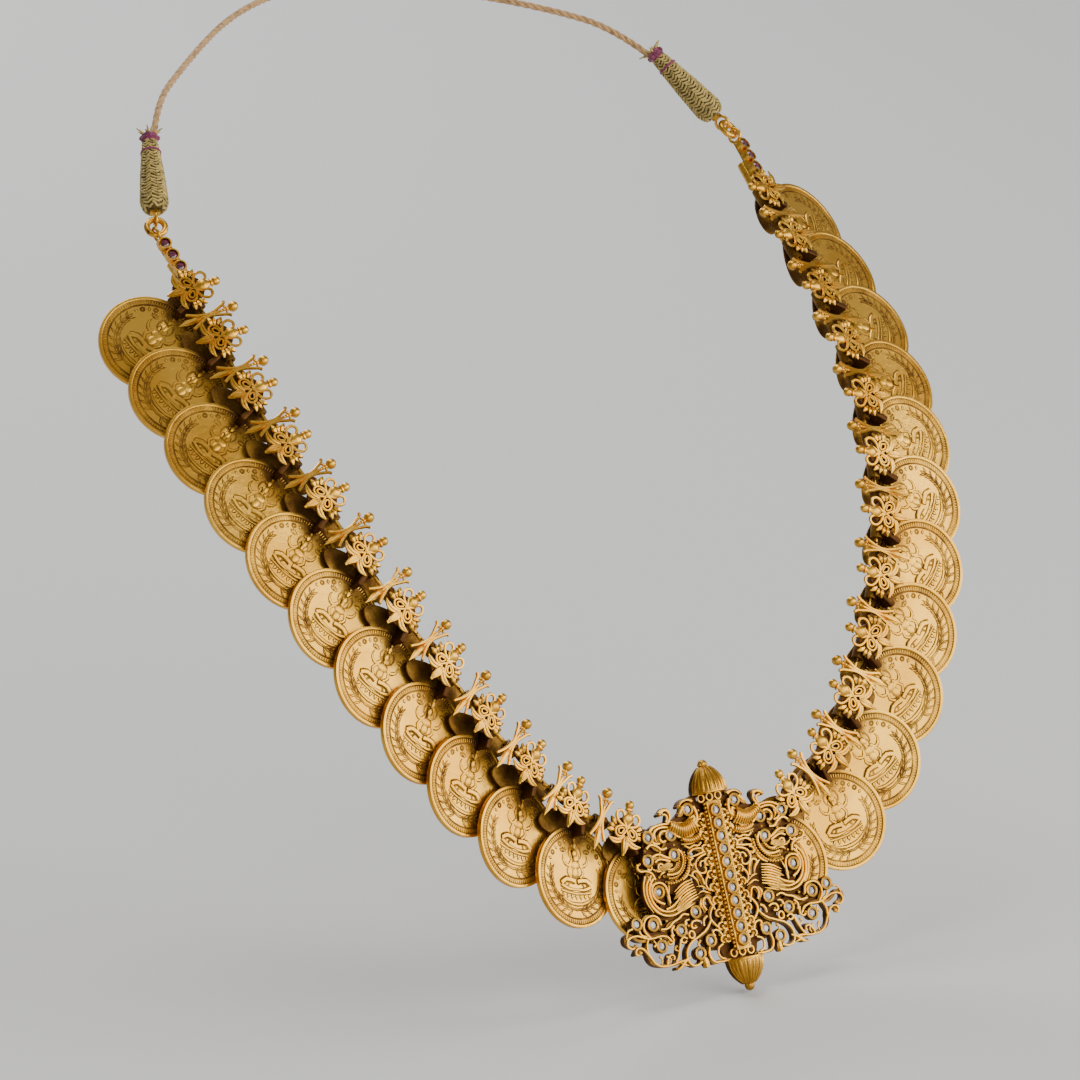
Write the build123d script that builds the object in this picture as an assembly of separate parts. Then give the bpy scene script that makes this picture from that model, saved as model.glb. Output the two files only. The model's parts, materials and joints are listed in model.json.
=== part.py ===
from build123d import *
import math
import os

# Coin necklace, held up as worn: +X to the wearer's left, +Y to the nape, +Z up.
# The origin is where the back cord rests on the nape. Millimetres.

# Coins and the collar they make
coins_per_side = 12
coin_diameter = 20.0
coin_thickness = 0.8
rim_width = 0.65
relief_height = 0.25
coin_pitch = 13.05          # along the strand, from one flower to the next
last_pitch = 10.8           # between the last two flowers, beside the pendant
coin_lean = 22.0            # degrees that a coin leans down the strand
coin_tilt = 7.0             # degrees that a coin tips over the one above it
last_lean = 38.0
last_tilt = 4.0
last_flower_turn = 41.0     # the last flower stands straighter than its coin
stem_width = 1.8
last_stem_width = 1.2       # beside the pendant's corner
side_leaf = 2.3
last_side_leaf = 1.3

# Flower on each coin
flower_standoff = 3.8       # height of the flower's wires over the coin's middle plane
flower_above_rim = 3.9      # from the coin's edge up to the flower's centre
flower_wire = 0.5
flower_backing = 0.8
finial_ball = 1.6
finial_height = 3.7         # from the flower's centre to the middle of its ball

# Wire that carries the strand, and the tubes that it passes through
wire_diameter = 0.8
bore_diameter = 1.4
tube_diameter = 2.4
tube_behind = 2.2           # tube axis behind the flower's wires
tube_below = 0.75           # tube axis below the flower's centre
link_tube_length = 4.6
spacer_tube_length = 3.0
wire_end_inset = 0.4        # the wire stops this far inside the last tubes

# Spacers between the flowers
spacer_ball = 2.15
spacer_bead = 0.75
spacer_height = 5.5         # from the tube's axis up to the middle of the ball
spacer_wire = 0.6
blade_length = 3.0
blade_width = 1.1

# Stones and their settings
bezel_diameter = 2.5
bezel_height = 0.75
stone_diameter = 1.6
stone_clearance = 0.1
red_bezel_diameter = 2.7
red_stone_diameter = 1.9
red_pitch = 2.95
stone_sides = 8

# Centre pendant: its drawing is laid out in steps of one module
module = 1.0
column_stones = 11
column_pitch = 2.58 * module
column_width = 3.4
column_rise = 1.6           # the column's bezels stand this far in front of the side ones
plate_thickness = 0.8
scroll_width = 0.55
scroll_height = 0.6         # over the plate
feather_height = 0.95
dome_radius = 3.6
dome_height = 5.2
dome_ribs = 14
dome_rib = 0.5
pendant_slope = 20.2        # degrees that the pendant's foot stands forward
pendant_tube = (13.5, 2.4)  # middle of the side tube, in modules out and down
pendant_tube_length = 6.0

# Clasp
ring_radius = 1.8
ring_wire = 1.2
loop_radius = 1.4
loop_wire = 0.6
shank_length = 3.0
shank_start = 3.9           # from the ring's centre to the sleeve's foot
sleeve_length = 16.7
sleeve_clearance = 0.2
tie_wire = 0.8
tie_share = 0.82
tie_clearance = 0.1
cord_diameter = 1.4

# Route of the left strand's tubes, from the clasp to the last coin. The right one mirrors it.
STRAND_ROUTE = [
    (-71.3, -50.7, -34.6),
    (-70.5, -59.7, -42.2),
    (-70.4, -78.2, -59.0),
    (-66.5, -96.6, -76.9),
    (-59.0, -111.3, -96.8),
    (-46.8, -121.6, -117.6),
    (-30.2, -128.4, -137.0),
    (-17.7, -131.2, -143.6),
]
first_coin_at = 11.8        # along the route from its first point

# Route of the back cord's left half beyond the sleeve; the last point is on the nape
CORD_ROUTE = [(-41.7, -18.8, -4.9), (-21.0, -5.0, -1.0), (0.0, 1.6, 0.7)]
cord_past_sleeve = 6.5
clasp_direction = Vector(0.39, 0.635, 0.67).normalized()

# Middle of the column's first stone, from the nape
pendant_place = Vector(0, -134.5, -140.8)

# Which way the strand faces: place along it in coins, degrees to the wearer's right, degrees up
FACING = [(0, -24, 42), (1, -22, 41), (3, -10, 32.5), (5, -3.5, 27.5), (8, 2.5, 25), (11, 5, 24), (12, 0, 24.5)]

# Stones beside the column, in modules out and down from the column's first stone
SIDE_STONES = [
    (5.8, -1.2), (11.1, 2.95), (16.6, 2.6), (11.3, 6.9), (17.8, 7.0), (16.75, 13.4), (9.1, 18.65),
    (23.6, 18.6), (19.75, 19.4), (13.4, 21.6), (18.75, 23.8), (6.85, 24.75), (10.0, 26.75),
]

# Half outline of the pendant's plate, in modules out and down
PLATE_OUTLINE = [
    (0, -4.0), (3.2, -3.9), (6.4, -2.9), (7.6, -1.0), (9.4, 0.2), (12.5, 0.3), (15.8, 1.0), (17.6, 1.5),
    (17.8, 3.6), (18.0, 5.6), (19.1, 7.0), (18.8, 10.0), (19.9, 12.6), (19.4, 15.8), (18.9, 17.6),
    (23.4, 17.6), (23.8, 19.4), (21.4, 21.9), (17.4, 22.2), (16.3, 23.2), (14.6, 23.4), (12.4, 24.4),
    (9.4, 23.4), (8.4, 25.4), (6.9, 26.6), (4.6, 27.0), (3.6, 29.8), (0, 29.8),
]

# Gaps cut through the plate beside the column's own: out, down and diameter in modules
PLATE_GAPS = [
    (2.2, -2.75, 1.0), (13.9, 3.5, 0.9), (6.3, 7.5, 1.1), (6.7, 9.7, 1.0), (4.9, 9.9, 0.9),
    (7.6, 12.3, 0.9), (5.5, 12.4, 0.9), (5.2, 14.6, 0.9), (13.6, 15.0, 1.5), (17.2, 16.0, 1.1),
    (5.5, 17.4, 0.9), (7.4, 20.9, 0.9), (4.9, 20.9, 0.9), (11.1, 22.5, 1.0), (10.9, 20.4, 0.9),
    (15.9, 21.6, 0.9), (16.6, 19.3, 0.9), (5.2, 23.0, 0.9), (14.9, 9.2, 0.9), (16.6, 8.2, 0.9),
    (12.9, 19.4, 0.8), (14.5, 6.0, 0.8), (5.0, 5.9, 0.8), (8.4, 6.6, 0.8),
]

# Raised wires of the pendant: first heading in degrees (0 outward, 90 up), then points out and down
SCROLLS = {
    "wing tip": (60, [(16.3, 23.3), (17.6, 22.1), (21.4, 21.9), (25.2, 20.8), (26.7, 22.2), (25.5, 22.9)]),
    "outer arch": (-10, [(13.6, 27.5), (17.6, 27.8), (20.8, 27.2), (22.4, 24.9), (23.9, 23.4), (25.2, 24.3)]),
    "stone scroll": (60, [(17.9, 19.6), (20.0, 17.7), (22.0, 19.9), (20.6, 22.0)]),
    "foot scroll": (-60, [(6.2, 21.3), (9.4, 23.5), (12.3, 24.9), (13.3, 27.2), (11.6, 28.9), (9.7, 27.8)]),
    "dome scroll": (-80, [(7.7, 26.0), (7.8, 28.2), (6.4, 29.2), (3.2, 29.2)]),
    "inner scroll": (-20, [(4.3, 18.0), (5.9, 19.9), (4.8, 22.1), (4.4, 24.0)]),
    "corner band": (-80, [(12.9, 4.2), (13.6, 5.2), (15.8, 4.6), (17.0, 4.3), (17.9, 5.0)]),
    "tail wire": (15, [(10.4, 1.3), (13.6, 0.7), (15.7, 1.7)]),
    "tail curl": (-10, [(11.9, 2.2), (13.6, 2.5), (13.2, 4.0)]),
    "upright curl": (110, [(11.2, 0.6), (10.5, -1.0), (11.7, -2.0), (12.8, -1.2)]),
    "bird crest": (20, [(4.3, -2.9), (6.2, -3.1), (7.8, -2.0)]),
    "tail outer": (-60, [(18.6, 9.6), (19.7, 13.2), (15.2, 18.2), (11.4, 16.7)]),
    "tail middle": (-60, [(17.6, 10.6), (18.8, 13.5), (15.2, 17.2), (12.2, 15.9)]),
    "tail eye": (95, [(14.9, 15.9), (14.9, 13.2), (16.8, 11.5), (18.2, 13.6), (16.6, 15.6)]),
    "collar outer": (-95, [(9.3, 6.6), (10.5, 10.4), (14.4, 11.9)]),
    "collar inner": (-80, [(10.1, 8.6), (11.6, 10.3), (14.6, 10.6)]),
    "crest": (40, [(12.4, 7.6), (14.6, 6.9), (17.2, 6.5)]),
    "swirl": (80, [(17.4, 10.6), (18.6, 9.0), (20.3, 8.5)]),
    "leaf loop": (40, [(3.9, 7.9), (6.4, 6.6), (8.0, 8.0)]),
    "stem": (70, [(6.0, 13.6), (7.0, 11.0), (8.4, 10.6)]),
    "curl": (80, [(6.9, 18.9), (5.9, 16.3), (4.7, 17.3)]),
    "fringe stem": (-60, [(14.0, 23.4), (15.0, 25.6), (16.2, 27.6)]),
    "tendril": (110, [(18.4, 27.6), (17.3, 25.9), (16.5, 26.4)]),
    "side stem": (-60, [(21.6, 21.8), (22.5, 23.4), (22.4, 24.9)]),
    "drop stem": (-90, [(18.75, 22.0), (18.75, 23.0)]),
    "band curl": (0, [(14.9, 19.7), (16.5, 20.4), (18.4, 20.4)]),
    "leaf tip": (-40, [(13.4, 27.6), (14.8, 28.5), (16.2, 28.7)]),
}

# Solid leaves and feathers of the pendant: out, down, length and width in modules, degrees of turn
FEATHERS = [
    (5.6, 2.2, 6.0, 2.2, 4), (4.6, 0.2, 2.6, 1.0, -80), (7.0, -0.9, 1.7, 0.8, -25), (5.0, 4.4, 4.2, 1.0, 0),
    (9.2, 13.0, 5.2, 1.0, -28), (9.0, 14.2, 5.4, 1.0, -33), (9.0, 15.4, 5.0, 1.0, -30), (9.4, 16.6, 4.4, 0.9, -15),
    (12.2, 8.6, 3.4, 1.3, -10), (9.2, 27.6, 2.2, 1.2, -95),
]


def unit(azimuth, lift):
    """Direction that faces the given degrees to the side and up, from straight ahead (-Y)."""
    a, e = math.radians(azimuth), math.radians(lift)
    return Vector(math.sin(a) * math.cos(e), -math.cos(a) * math.cos(e), math.sin(e))


def mirrored(v):
    """The same point or direction on the other side of the wearer."""
    return Vector(-v.X, v.Y, v.Z)


def fuse_all(shapes):
    """One shape from many overlapping ones."""
    first, *rest = shapes
    return first.fuse(*rest).clean()


def cut_all(shape, tools):
    """A shape with all of the tools taken out of it."""
    return shape.cut(*tools).clean()


def tube_along(center, direction, length, diameter):
    """Cylinder of the given length whose middle is at center."""
    plane = Plane(origin=center, z_dir=direction)
    return plane.location * Cylinder(diameter / 2, length)


def arc_chain(points, heading):
    """Tangent arcs through points that start off at a heading: start, middle, end, end heading."""
    arcs = []
    for (x0, y0), (x1, y1) in zip(points, points[1:]):
        chord = math.degrees(math.atan2(y1 - y0, x1 - x0))
        turn = (chord - heading + 180) % 360 - 180
        half = math.hypot(x1 - x0, y1 - y0) / 2
        bulge = half * math.tan(math.radians(turn) / 2)
        c, s = math.cos(math.radians(chord)), math.sin(math.radians(chord))
        middle = ((x0 + x1) / 2 + s * bulge, (y0 + y1) / 2 - c * bulge)
        arcs.append(((x0, y0), middle, (x1, y1), heading, chord, chord + turn))
        heading = chord + turn
    return arcs


def beside(point, heading, offset):
    """Point at a distance to the left of a heading."""
    a = math.radians(heading)
    return (point[0] - math.sin(a) * offset, point[1] + math.cos(a) * offset)


def strip_faces(points, heading, width):
    """Flat faces of a ribbon that follows tangent arcs, with round ends."""
    faces = []
    half = width / 2
    for start, middle, end, h0, h1, h2 in arc_chain(points, heading):
        left = [beside(start, h0, half), beside(middle, h1, half), beside(end, h2, half)]
        right = [beside(start, h0, -half), beside(middle, h1, -half), beside(end, h2, -half)]
        straight = abs((h2 - h0 + 180) % 360 - 180) < 1
        if straight:
            edges = [Line(left[0], left[2]), Line(left[2], right[2]), Line(right[2], right[0])]
        else:
            edges = [ThreePointArc(*left), Line(left[2], right[2]), ThreePointArc(*reversed(right))]
        edges.append(Line(right[0], left[0]))
        faces.append(make_face(edges))
    for end in (points[0], points[-1]):
        faces.append(Pos(*end) * Circle(half * 1.15))
    return faces


def wire_along(points, heading, diameter, height):
    """Round wire that follows tangent arcs at a height over the XY plane."""
    edges = [ThreePointArc(a, m, b) for a, m, b, *_ in arc_chain(points, heading)]
    path = Wire([e.edge() for e in edges])
    section = Plane(origin=path @ 0, z_dir=path % 0) * Circle(diameter / 2)
    return Pos(0, 0, height) * sweep(section, path)


def spindle(length, width, angle, place):
    """Pointed bud or leaf from a place along an angle in the XY plane."""
    shares = [(0.0, 0.2), (0.15, 0.62), (0.4, 1.0), (0.6, 0.96), (0.85, 0.55), (1.0, 0.12)]
    outline = [(along * length, across * width / 2) for along, across in shares]
    face = make_face(Polyline((0, 0), *outline, (length, 0), close=True))
    return Pos(*place) * Rot(0, 0, angle) * revolve(face, Axis.X)


def faceted_stone(diameter):
    """Round cut stone with a table on top at Z 0, a crown, a girdle and a pavilion."""
    radius = diameter / 2
    crown, girdle, depth = 0.14 * diameter, 0.04 * diameter, 0.3 * diameter
    table = RegularPolygon(radius * 0.6, stone_sides)
    middle = RegularPolygon(radius, stone_sides)
    culet = RegularPolygon(radius * 0.12, stone_sides)
    top = loft([Pos(0, 0, -crown) * middle, table])
    band = extrude(Pos(0, 0, -crown - girdle) * middle, girdle)
    low = loft([Pos(0, 0, -crown - girdle - depth) * culet, Pos(0, 0, -crown - girdle) * middle])
    return fuse_all([top, band, low])


def bezel(outer, stone, height):
    """Round setting that stands down from Z 0, with a blind seat for its stone."""
    seat_radius = stone / 2 + stone_clearance
    seat_depth = 0.48 * stone + stone_clearance
    cup = Pos(0, 0, -height / 2) * Cylinder(outer / 2, height)
    seat = Pos(0, 0, -seat_depth / 2) * Cylinder(seat_radius, seat_depth)
    return cup, seat


def coin():
    """Coin with a raised rim, an inner line, a seated figure, leaf sprays and a curved base."""
    radius = coin_diameter / 2
    face = coin_thickness / 2
    disc = Cylinder(radius, coin_thickness)
    rim = Circle(radius) - Circle(radius - rim_width)
    line = Circle(0.77 * radius) - Circle(0.75 * radius)

    def oval(x, y, length, width, angle=0):
        shape = Ellipse(length * radius / 2, width * radius / 2)
        return Pos(x * radius, y * radius) * Rot(0, 0, angle) * shape

    figure = [
        Pos(0, 0.40 * radius) * (Circle(0.16 * radius) - Circle(0.13 * radius)),
        oval(0, 0.40, 0.16, 0.20),
        oval(0, 0.17, 0.26, 0.34),
        oval(0.13, -0.09, 0.46, 0.17, -12),
        oval(-0.13, -0.09, 0.46, 0.17, 12),
        oval(0.19, 0.27, 0.30, 0.08, 50),
        oval(-0.19, 0.27, 0.30, 0.08, 130),
        oval(0.30, 0.44, 0.13, 0.10, 90),
        oval(-0.30, 0.44, 0.13, 0.10, 90),
        oval(0.17, 0.06, 0.28, 0.08, -35),
        oval(-0.17, 0.06, 0.28, 0.08, 215),
    ]
    for side in (-1, 1):
        for step in range(4):
            turn = 90 + side * (118 - 20 * step)
            reach = math.radians(turn)
            place = (0.56 * math.cos(reach), 0.56 * math.sin(reach))
            figure.append(oval(*place, 0.30, 0.09, turn + side * 28))
    figure += strip_faces([(-0.42 * radius, -0.34 * radius), (0.42 * radius, -0.34 * radius)], -35, 0.09 * radius)
    raised = [rim, line, *figure]
    lift = relief_height + 0.1
    return [disc, *(extrude(Pos(0, 0, face - 0.1) * shape, lift) for shape in raised)]


def flower_parts(leaf_length):
    """Flower with its finial, curled wires, loops, bud and leaves; its centre is at the origin."""
    profile = make_face(Polyline(
        (0, -0.4), (0.8, -0.4), (0.72, 0.6), (0.4, 1.9), (0.4, 2.5), (0.62, 2.6), (0.62, 2.85),
        (0.35, 2.95), (0.35, finial_height), (0, finial_height), (0, -0.4)))
    finial = revolve(profile, Axis.Y)
    ball = Pos(0, finial_height, 0) * Sphere(finial_ball / 2)
    parts = [finial, ball]
    for side in (-1, 1):
        curl = [(0, -1.0), (side * 1.7, 0.1), (side * 2.2, 1.5), (side * 1.4, 1.3)]
        parts.append(wire_along(curl, 0 if side > 0 else 180, flower_wire, 0))
        parts.append(Pos(side * 1.5, -1.9, 0) * Torus(0.8, flower_wire / 2))
        parts.append(spindle(3.4, 1.1, -90 + side * 38, (side * 0.5, -2.7, 0)))
        parts.append(spindle(leaf_length, 0.9, 14 if side > 0 else 166, (side * 2.0, -1.6, 0)))
    parts.append(spindle(3.6, 1.3, -90, (0, -2.6, 0)))
    backing = fuse_all([
        Pos(0, -0.2) * Circle(1.9),
        Pos(-1.5, -1.8) * Circle(1.2),
        Pos(1.5, -1.8) * Circle(1.2),
        Pos(0, -3.6) * Ellipse(1.1, 2.0),
    ])
    parts.append(extrude(Pos(0, 0, -flower_backing) * backing, flower_backing))
    return parts


def strand_in_link(lean, tilt, side):
    """Direction of the strand towards the pendant in a coin link's own axes."""
    a, t = math.radians(lean), math.radians(tilt)
    return Vector(-side * math.cos(t) * math.cos(a), -math.cos(t) * math.sin(a), math.sin(t))


flower_up = coin_diameter / 2 + flower_above_rim
tube_place = Vector(0, flower_up - tube_below, flower_standoff - tube_behind)


def coin_link(lean, tilt, flower_turn, side, stem_size=stem_width, leaf_length=side_leaf):
    """Coin, flower, stem and tube as one solid. Origin in the coin's middle, +Y to the flower."""
    stem_top = tube_place.Y - bore_diameter / 2
    stem_foot = 0.78 * coin_diameter / 2
    stem_low = coin_thickness / 4
    stem_high = flower_standoff - flower_backing / 2
    stem = Pos(0, (stem_top + stem_foot) / 2, (stem_low + stem_high) / 2) * Box(
        stem_size, stem_top - stem_foot, stem_high - stem_low)
    direction = strand_in_link(lean, tilt, side)
    flower_place = Pos(0, flower_up, flower_standoff) * Rot(0, 0, side * flower_turn)
    flower = [flower_place * piece for piece in flower_parts(leaf_length)]
    tube = tube_along(tube_place, direction, link_tube_length, tube_diameter)
    bore = tube_along(tube_place, direction, link_tube_length * 2, bore_diameter)
    return cut_all(fuse_all([*coin(), stem, *flower, tube]), [bore])


def spacer(side):
    """Spacer on its own tube. Origin on the tube's axis, +Y to the ball."""
    front = tube_behind
    top = spacer_height
    ball = Pos(0, top, front) * Sphere(spacer_ball / 2)
    beads = [
        Pos(0, top - spacer_ball / 2 - (0.3 + 0.85 * k) * spacer_bead, front) * Sphere(spacer_bead / 2)
        for k in range(3)
    ]
    wires = [
        wire_along([(k * 1.6, 4.4), (k * 0.35, 1.0), (k * 1.7, -3.4)], -90 - k * 45, spacer_wire, front)
        for k in (-1, 1)
    ]
    blade = spindle(blade_length, blade_width, -90, (0, -3.4, front))
    spine_length = 8.6
    spine = Pos(0, 0.4, front - 0.45) * Box(0.9, spine_length, 0.7)
    lower = Pos(0, -3.3, front - 0.35) * Box(3.4, 0.8, 0.5)
    foot = Pos(0, 0, front / 2) * Box(1.4, 1.6, front)
    direction = strand_in_link(coin_lean, 0, side)
    tube = tube_along((0, 0, 0), direction, spacer_tube_length, tube_diameter)
    bore = tube_along((0, 0, 0), direction, spacer_tube_length * 3, bore_diameter)
    return cut_all(fuse_all([tube, foot, spine, lower, ball, *beads, *wires, blade]), [bore])


def on_pendant(out, down, height=0.0):
    """Place on the pendant's face from modules out and down."""
    return (out * module, -down * module, height)


side_face = -column_rise + bezel_height * 0.35
plate_front = side_face - bezel_height
plate_back = plate_front - plate_thickness
tube_level = plate_back - tube_diameter / 2 + 0.25


def dome(up):
    """Ribbed dome with a small knob, on its side; its foot is at the origin."""
    knob = 0.95
    curve = [(dome_radius, 0), (dome_radius * 0.74, dome_height * 0.62), (knob * 0.7, dome_height)]
    arc = ThreePointArc(*curve)
    face = make_face([arc, Line(curve[2], (0, dome_height)), Line((0, dome_height), (0, 0)), Line((0, 0), curve[0])])
    body = revolve(face, Axis.Y)
    rib_arc = arc.edge().trim(0.03, 0.9)
    section = Plane(origin=rib_arc @ 0, z_dir=rib_arc % 0) * Circle(dome_rib / 2)
    rib = sweep(section, rib_arc)
    ribs = [Rot(0, 360 / dome_ribs * (k + 0.5), 0) * rib for k in range(dome_ribs)]
    base = Pos(0, 0.25, 0) * Rot(90, 0, 0) * Cylinder(dome_radius * 1.04, 0.6)
    tip = Pos(0, dome_height + knob * 0.3, 0) * Sphere(knob)
    return [Rot(0, 0, 0 if up else 180) * piece for piece in (body, base, tip, *ribs)]


def leaf_face(length, width, angle, place):
    """Flat pointed leaf from a place along an angle."""
    upper = ThreePointArc((0, 0), (length / 2, width / 2), (length, 0))
    lower = ThreePointArc((length, 0), (length / 2, -width / 2), (0, 0))
    return Pos(*place) * Rot(0, 0, angle) * make_face([upper, lower])


def flat_relief(faces, foot, top):
    """Solids of the joined flat faces between two heights."""
    joined = faces[0].fuse(*faces[1:]).clean()
    return [extrude(Pos(0, 0, foot) * face, top - foot) for face in joined.faces()]


def scroll_faces(side):
    """Flat ribbons of the scrolls on one side of the pendant."""
    paths = [(heading, [on_pendant(*p)[:2] for p in points]) for heading, points in SCROLLS.values()]
    for step in range(column_stones - 1):
        level = (step + 0.5) * column_pitch
        curl = [(1.5, -level + 0.95), (3.7, -level), (2.6, -level - 0.85), (2.35, -level - 0.1)]
        paths.append((0, curl))
    faces = []
    for heading, points in paths:
        if side < 0:
            heading, points = 180 - heading, [(-x, y) for x, y in points]
        faces += strip_faces(points, heading, scroll_width)
    return faces


def feather_faces(side):
    """Flat leaves and feathers on one side of the pendant."""
    faces = []
    for out, down, length, width, angle in FEATHERS:
        x, y, _ = on_pendant(side * out, down)
        faces.append(leaf_face(length * module, width * module, angle if side > 0 else 180 - angle, (x, y)))
    return faces


def pendant_plate():
    """Pierced plate behind the scrolls, with its gaps cut through."""
    half = [on_pendant(*p)[:2] for p in PLATE_OUTLINE]
    outline = half + [(-x, y) for x, y in reversed(half[1:-1])]
    plate = extrude(Pos(0, 0, plate_back) * make_face(Polyline(*outline, close=True)), plate_thickness)
    gaps = [(0, -2.75, 1.0), *PLATE_GAPS, *((-x, y, d) for x, y, d in PLATE_GAPS)]
    for step in range(column_stones - 1):
        level = (step + 0.5) * column_pitch / module
        gaps += [(2.75, level - 0.1, 0.7), (-2.75, level - 0.1, 0.7)]
    holes = [
        Pos(*on_pendant(out, down, plate_back)) * Cylinder(size * module / 2, plate_thickness * 6)
        for out, down, size in gaps
    ]
    return cut_all(plate, holes)


def pendant():
    """Pierced and raised centre pendant, one solid. Origin at the column's first stone."""
    column_top = 1.9 * module
    column_length = (column_stones - 1) * column_pitch + 2 * column_top
    column_front = -bezel_height * 0.6
    column = Pos(0, column_top - column_length / 2, (plate_back + column_front) / 2) * Box(
        column_width, column_length, column_front - plate_back)
    shapes = [pendant_plate(), column]
    for side in (-1, 1):
        shapes += flat_relief(scroll_faces(side), plate_back, plate_front + scroll_height)
        shapes += flat_relief(feather_faces(side), plate_back + plate_thickness / 2, plate_front + feather_height)
    cups, seats = [], []
    for out, down in SIDE_STONES:
        for side in (-1, 1):
            cup, seat = bezel(bezel_diameter, stone_diameter, side_face - plate_back)
            place = Pos(*on_pendant(side * out, down, side_face))
            cups.append(place * cup)
            seats.append(place * seat)
    for step in range(column_stones):
        cup, seat = bezel(bezel_diameter, stone_diameter, bezel_height)
        place = Pos(0, -step * column_pitch, 0)
        cups.append(place * cup)
        seats.append(place * seat)
    domes = [Pos(*on_pendant(0, -3.7, side_face)) * piece for piece in dome(True)]
    domes += [Pos(*on_pendant(0, 29.5, side_face)) * piece for piece in dome(False)]
    tubes, bores = [], []
    for side in (-1, 1):
        center, direction = pendant_tube_frame(side)
        tubes.append(tube_along(center, direction, pendant_tube_length, tube_diameter))
        bores.append(tube_along(center, direction, pendant_tube_length * 2, bore_diameter))
    relief = shapes[0].fuse(*shapes[1:])
    settings = relief.fuse(*cups)
    solid = settings.fuse(*domes, *tubes).clean()
    return cut_all(solid, seats + bores)


slope = math.radians(pendant_slope)
pendant_normal = Vector(0, -math.cos(slope), math.sin(slope))
pendant_down = Vector(0, -math.sin(slope), -math.cos(slope))
pendant_plane = Plane(origin=pendant_place, x_dir=(1, 0, 0), z_dir=pendant_normal)


def facing_at(place):
    """Facing direction of the strand at a place counted in coins."""
    for (c0, a0, l0), (c1, a1, l1) in zip(FACING, FACING[1:]):
        if place <= c1:
            share = (place - c0) / (c1 - c0)
            return unit(a0 + share * (a1 - a0), l0 + share * (l1 - l0))
    return unit(*FACING[-1][1:])


# Runs of the carrying wire: the clasp's tube, then a coin and a spacer on each run, then the pendant
route = Spline(*STRAND_ROUTE)
coin_places = [first_coin_at + coin_pitch * k for k in range(coins_per_side - 1)]
coin_places.append(coin_places[-1] + last_pitch)
coin_share = 0.25           # places of the coin and the spacer along a run
spacer_share = 0.75
corner_places = [place - coin_pitch * coin_share for place in coin_places[:-1]]
corner_places.append(coin_places[-1] - last_pitch * coin_share)
corners = [route.position_at(place, position_mode=PositionMode.LENGTH) for place in corner_places]
tube_point = Vector(*on_pendant(-pendant_tube[0], pendant_tube[1], tube_level))
pendant_end = pendant_plane.from_local_coords(tube_point)
last_corner = route.position_at(1)
end_tube_length = 5.0
end_gap = 0.8               # bare wire between the end link's tube and the first corner
wire_start = route.position_at(
    corner_places[0] - end_gap - end_tube_length + wire_end_inset, position_mode=PositionMode.LENGTH)
to_clasp = (wire_start - corners[0]).normalized()
to_pendant = (pendant_end - last_corner).normalized()
wire_stop = pendant_end + to_pendant * (pendant_tube_length / 2 - wire_end_inset)
wire_points = [wire_start, *corners, last_corner, wire_stop]
last_share = last_pitch * coin_share / (last_corner - corners[-1]).length


def pendant_tube_frame(side):
    """Middle and direction of a side tube in the pendant's own axes; side is -1 or 1."""
    direction = pendant_plane.to_local_coords(pendant_end) - pendant_plane.to_local_coords(last_corner)
    flip = -side
    return Vector(flip * tube_point.X, tube_point.Y, tube_point.Z), Vector(flip * direction.X, direction.Y, direction.Z)


def run_frame(run, share, place, lean, tilt):
    """Place at a share of a wire's run, its facing normal and the direction from coin to flower."""
    start, end = wire_points[run], wire_points[run + 1]
    along = (end - start).normalized()
    face = facing_at(place)
    square = (face - along * face.dot(along)).normalized()
    t = math.radians(tilt)
    normal = square * math.cos(t) + along * math.sin(t)
    flat = (along - normal * along.dot(normal)).normalized()
    out = normal.cross(flat)
    if out.X > 0:
        out = -out
    a = math.radians(lean)
    down = out * math.cos(a) + flat * math.sin(a)
    return start + (end - start) * share, normal, -down


def set_in_place(shape, frame, side):
    """Put a shape with +Y up and +Z to the front where a frame says, on the left or the right."""
    origin, normal, up = frame
    if side > 0:
        origin, normal, up = mirrored(origin), mirrored(normal), mirrored(up)
    return Plane(origin=origin, x_dir=up.cross(normal), z_dir=normal).location * shape


def rounded_path(points):
    """Straight runs joined by the largest tangent arcs that they leave room for, and the radii."""
    radii = []
    for before, here, after in zip(points, points[1:], points[2:]):
        run = min((here - before).length, (after - here).length)
        turn = math.radians((here - before).get_angle(after - here))
        radii.append(0.45 * run / math.tan(turn / 2))
    return FilletPolyline(*points, radius=radii), radii


def round_tube(points, diameter):
    """Round bar along a rounded path, its radii and how its volume compares with its length."""
    path, radii = rounded_path(points)
    section = Plane(origin=path @ 0, z_dir=path % 0) * Circle(diameter / 2)
    solid = sweep(section, path)
    expected = math.pi * diameter ** 2 / 4 * path.length
    return solid, radii, path.length, solid.volume / expected


# End link: bar with three settings, tube for the wire and eyelet for the ring
bar_height = 2.0
bar_front = bar_height
red_face = bar_front + 0.9
eyelet_up = 2 * red_pitch + red_bezel_diameter / 2 + loop_radius + 0.2


def end_link():
    """Bar with three bezels, a tube and an eyelet. Origin at the tube's middle, +Y to the clasp."""
    bar = Pos(0, red_pitch, bar_front - 0.5) * Box(2.2, 2 * red_pitch + 2.4, 1.0)
    neck = Pos(0, 0, bar_front / 2) * Box(1.6, end_tube_length * 0.8, bar_front)
    cups, seats = [], []
    for step in range(3):
        cup, seat = bezel(red_bezel_diameter, red_stone_diameter, red_face - bar_front + 0.6)
        place = Pos(0, step * red_pitch, red_face)
        cups.append(place * cup)
        seats.append(place * seat)
    eyelet = Pos(0, eyelet_up, bar_front - 0.5) * Rot(0, 90, 0) * Torus(loop_radius, loop_wire / 2)
    tube = tube_along((0, 0, 0), (0, 1, 0), end_tube_length, tube_diameter)
    bore = tube_along((0, 0, 0), (0, 1, 0), end_tube_length * 3, bore_diameter)
    short_bore = bore & Pos(0, -wire_end_inset, 0) * Box(4, end_tube_length, 4)
    return cut_all(fuse_all([bar, neck, tube, eyelet, *cups]), [*seats, short_bore])


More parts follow.
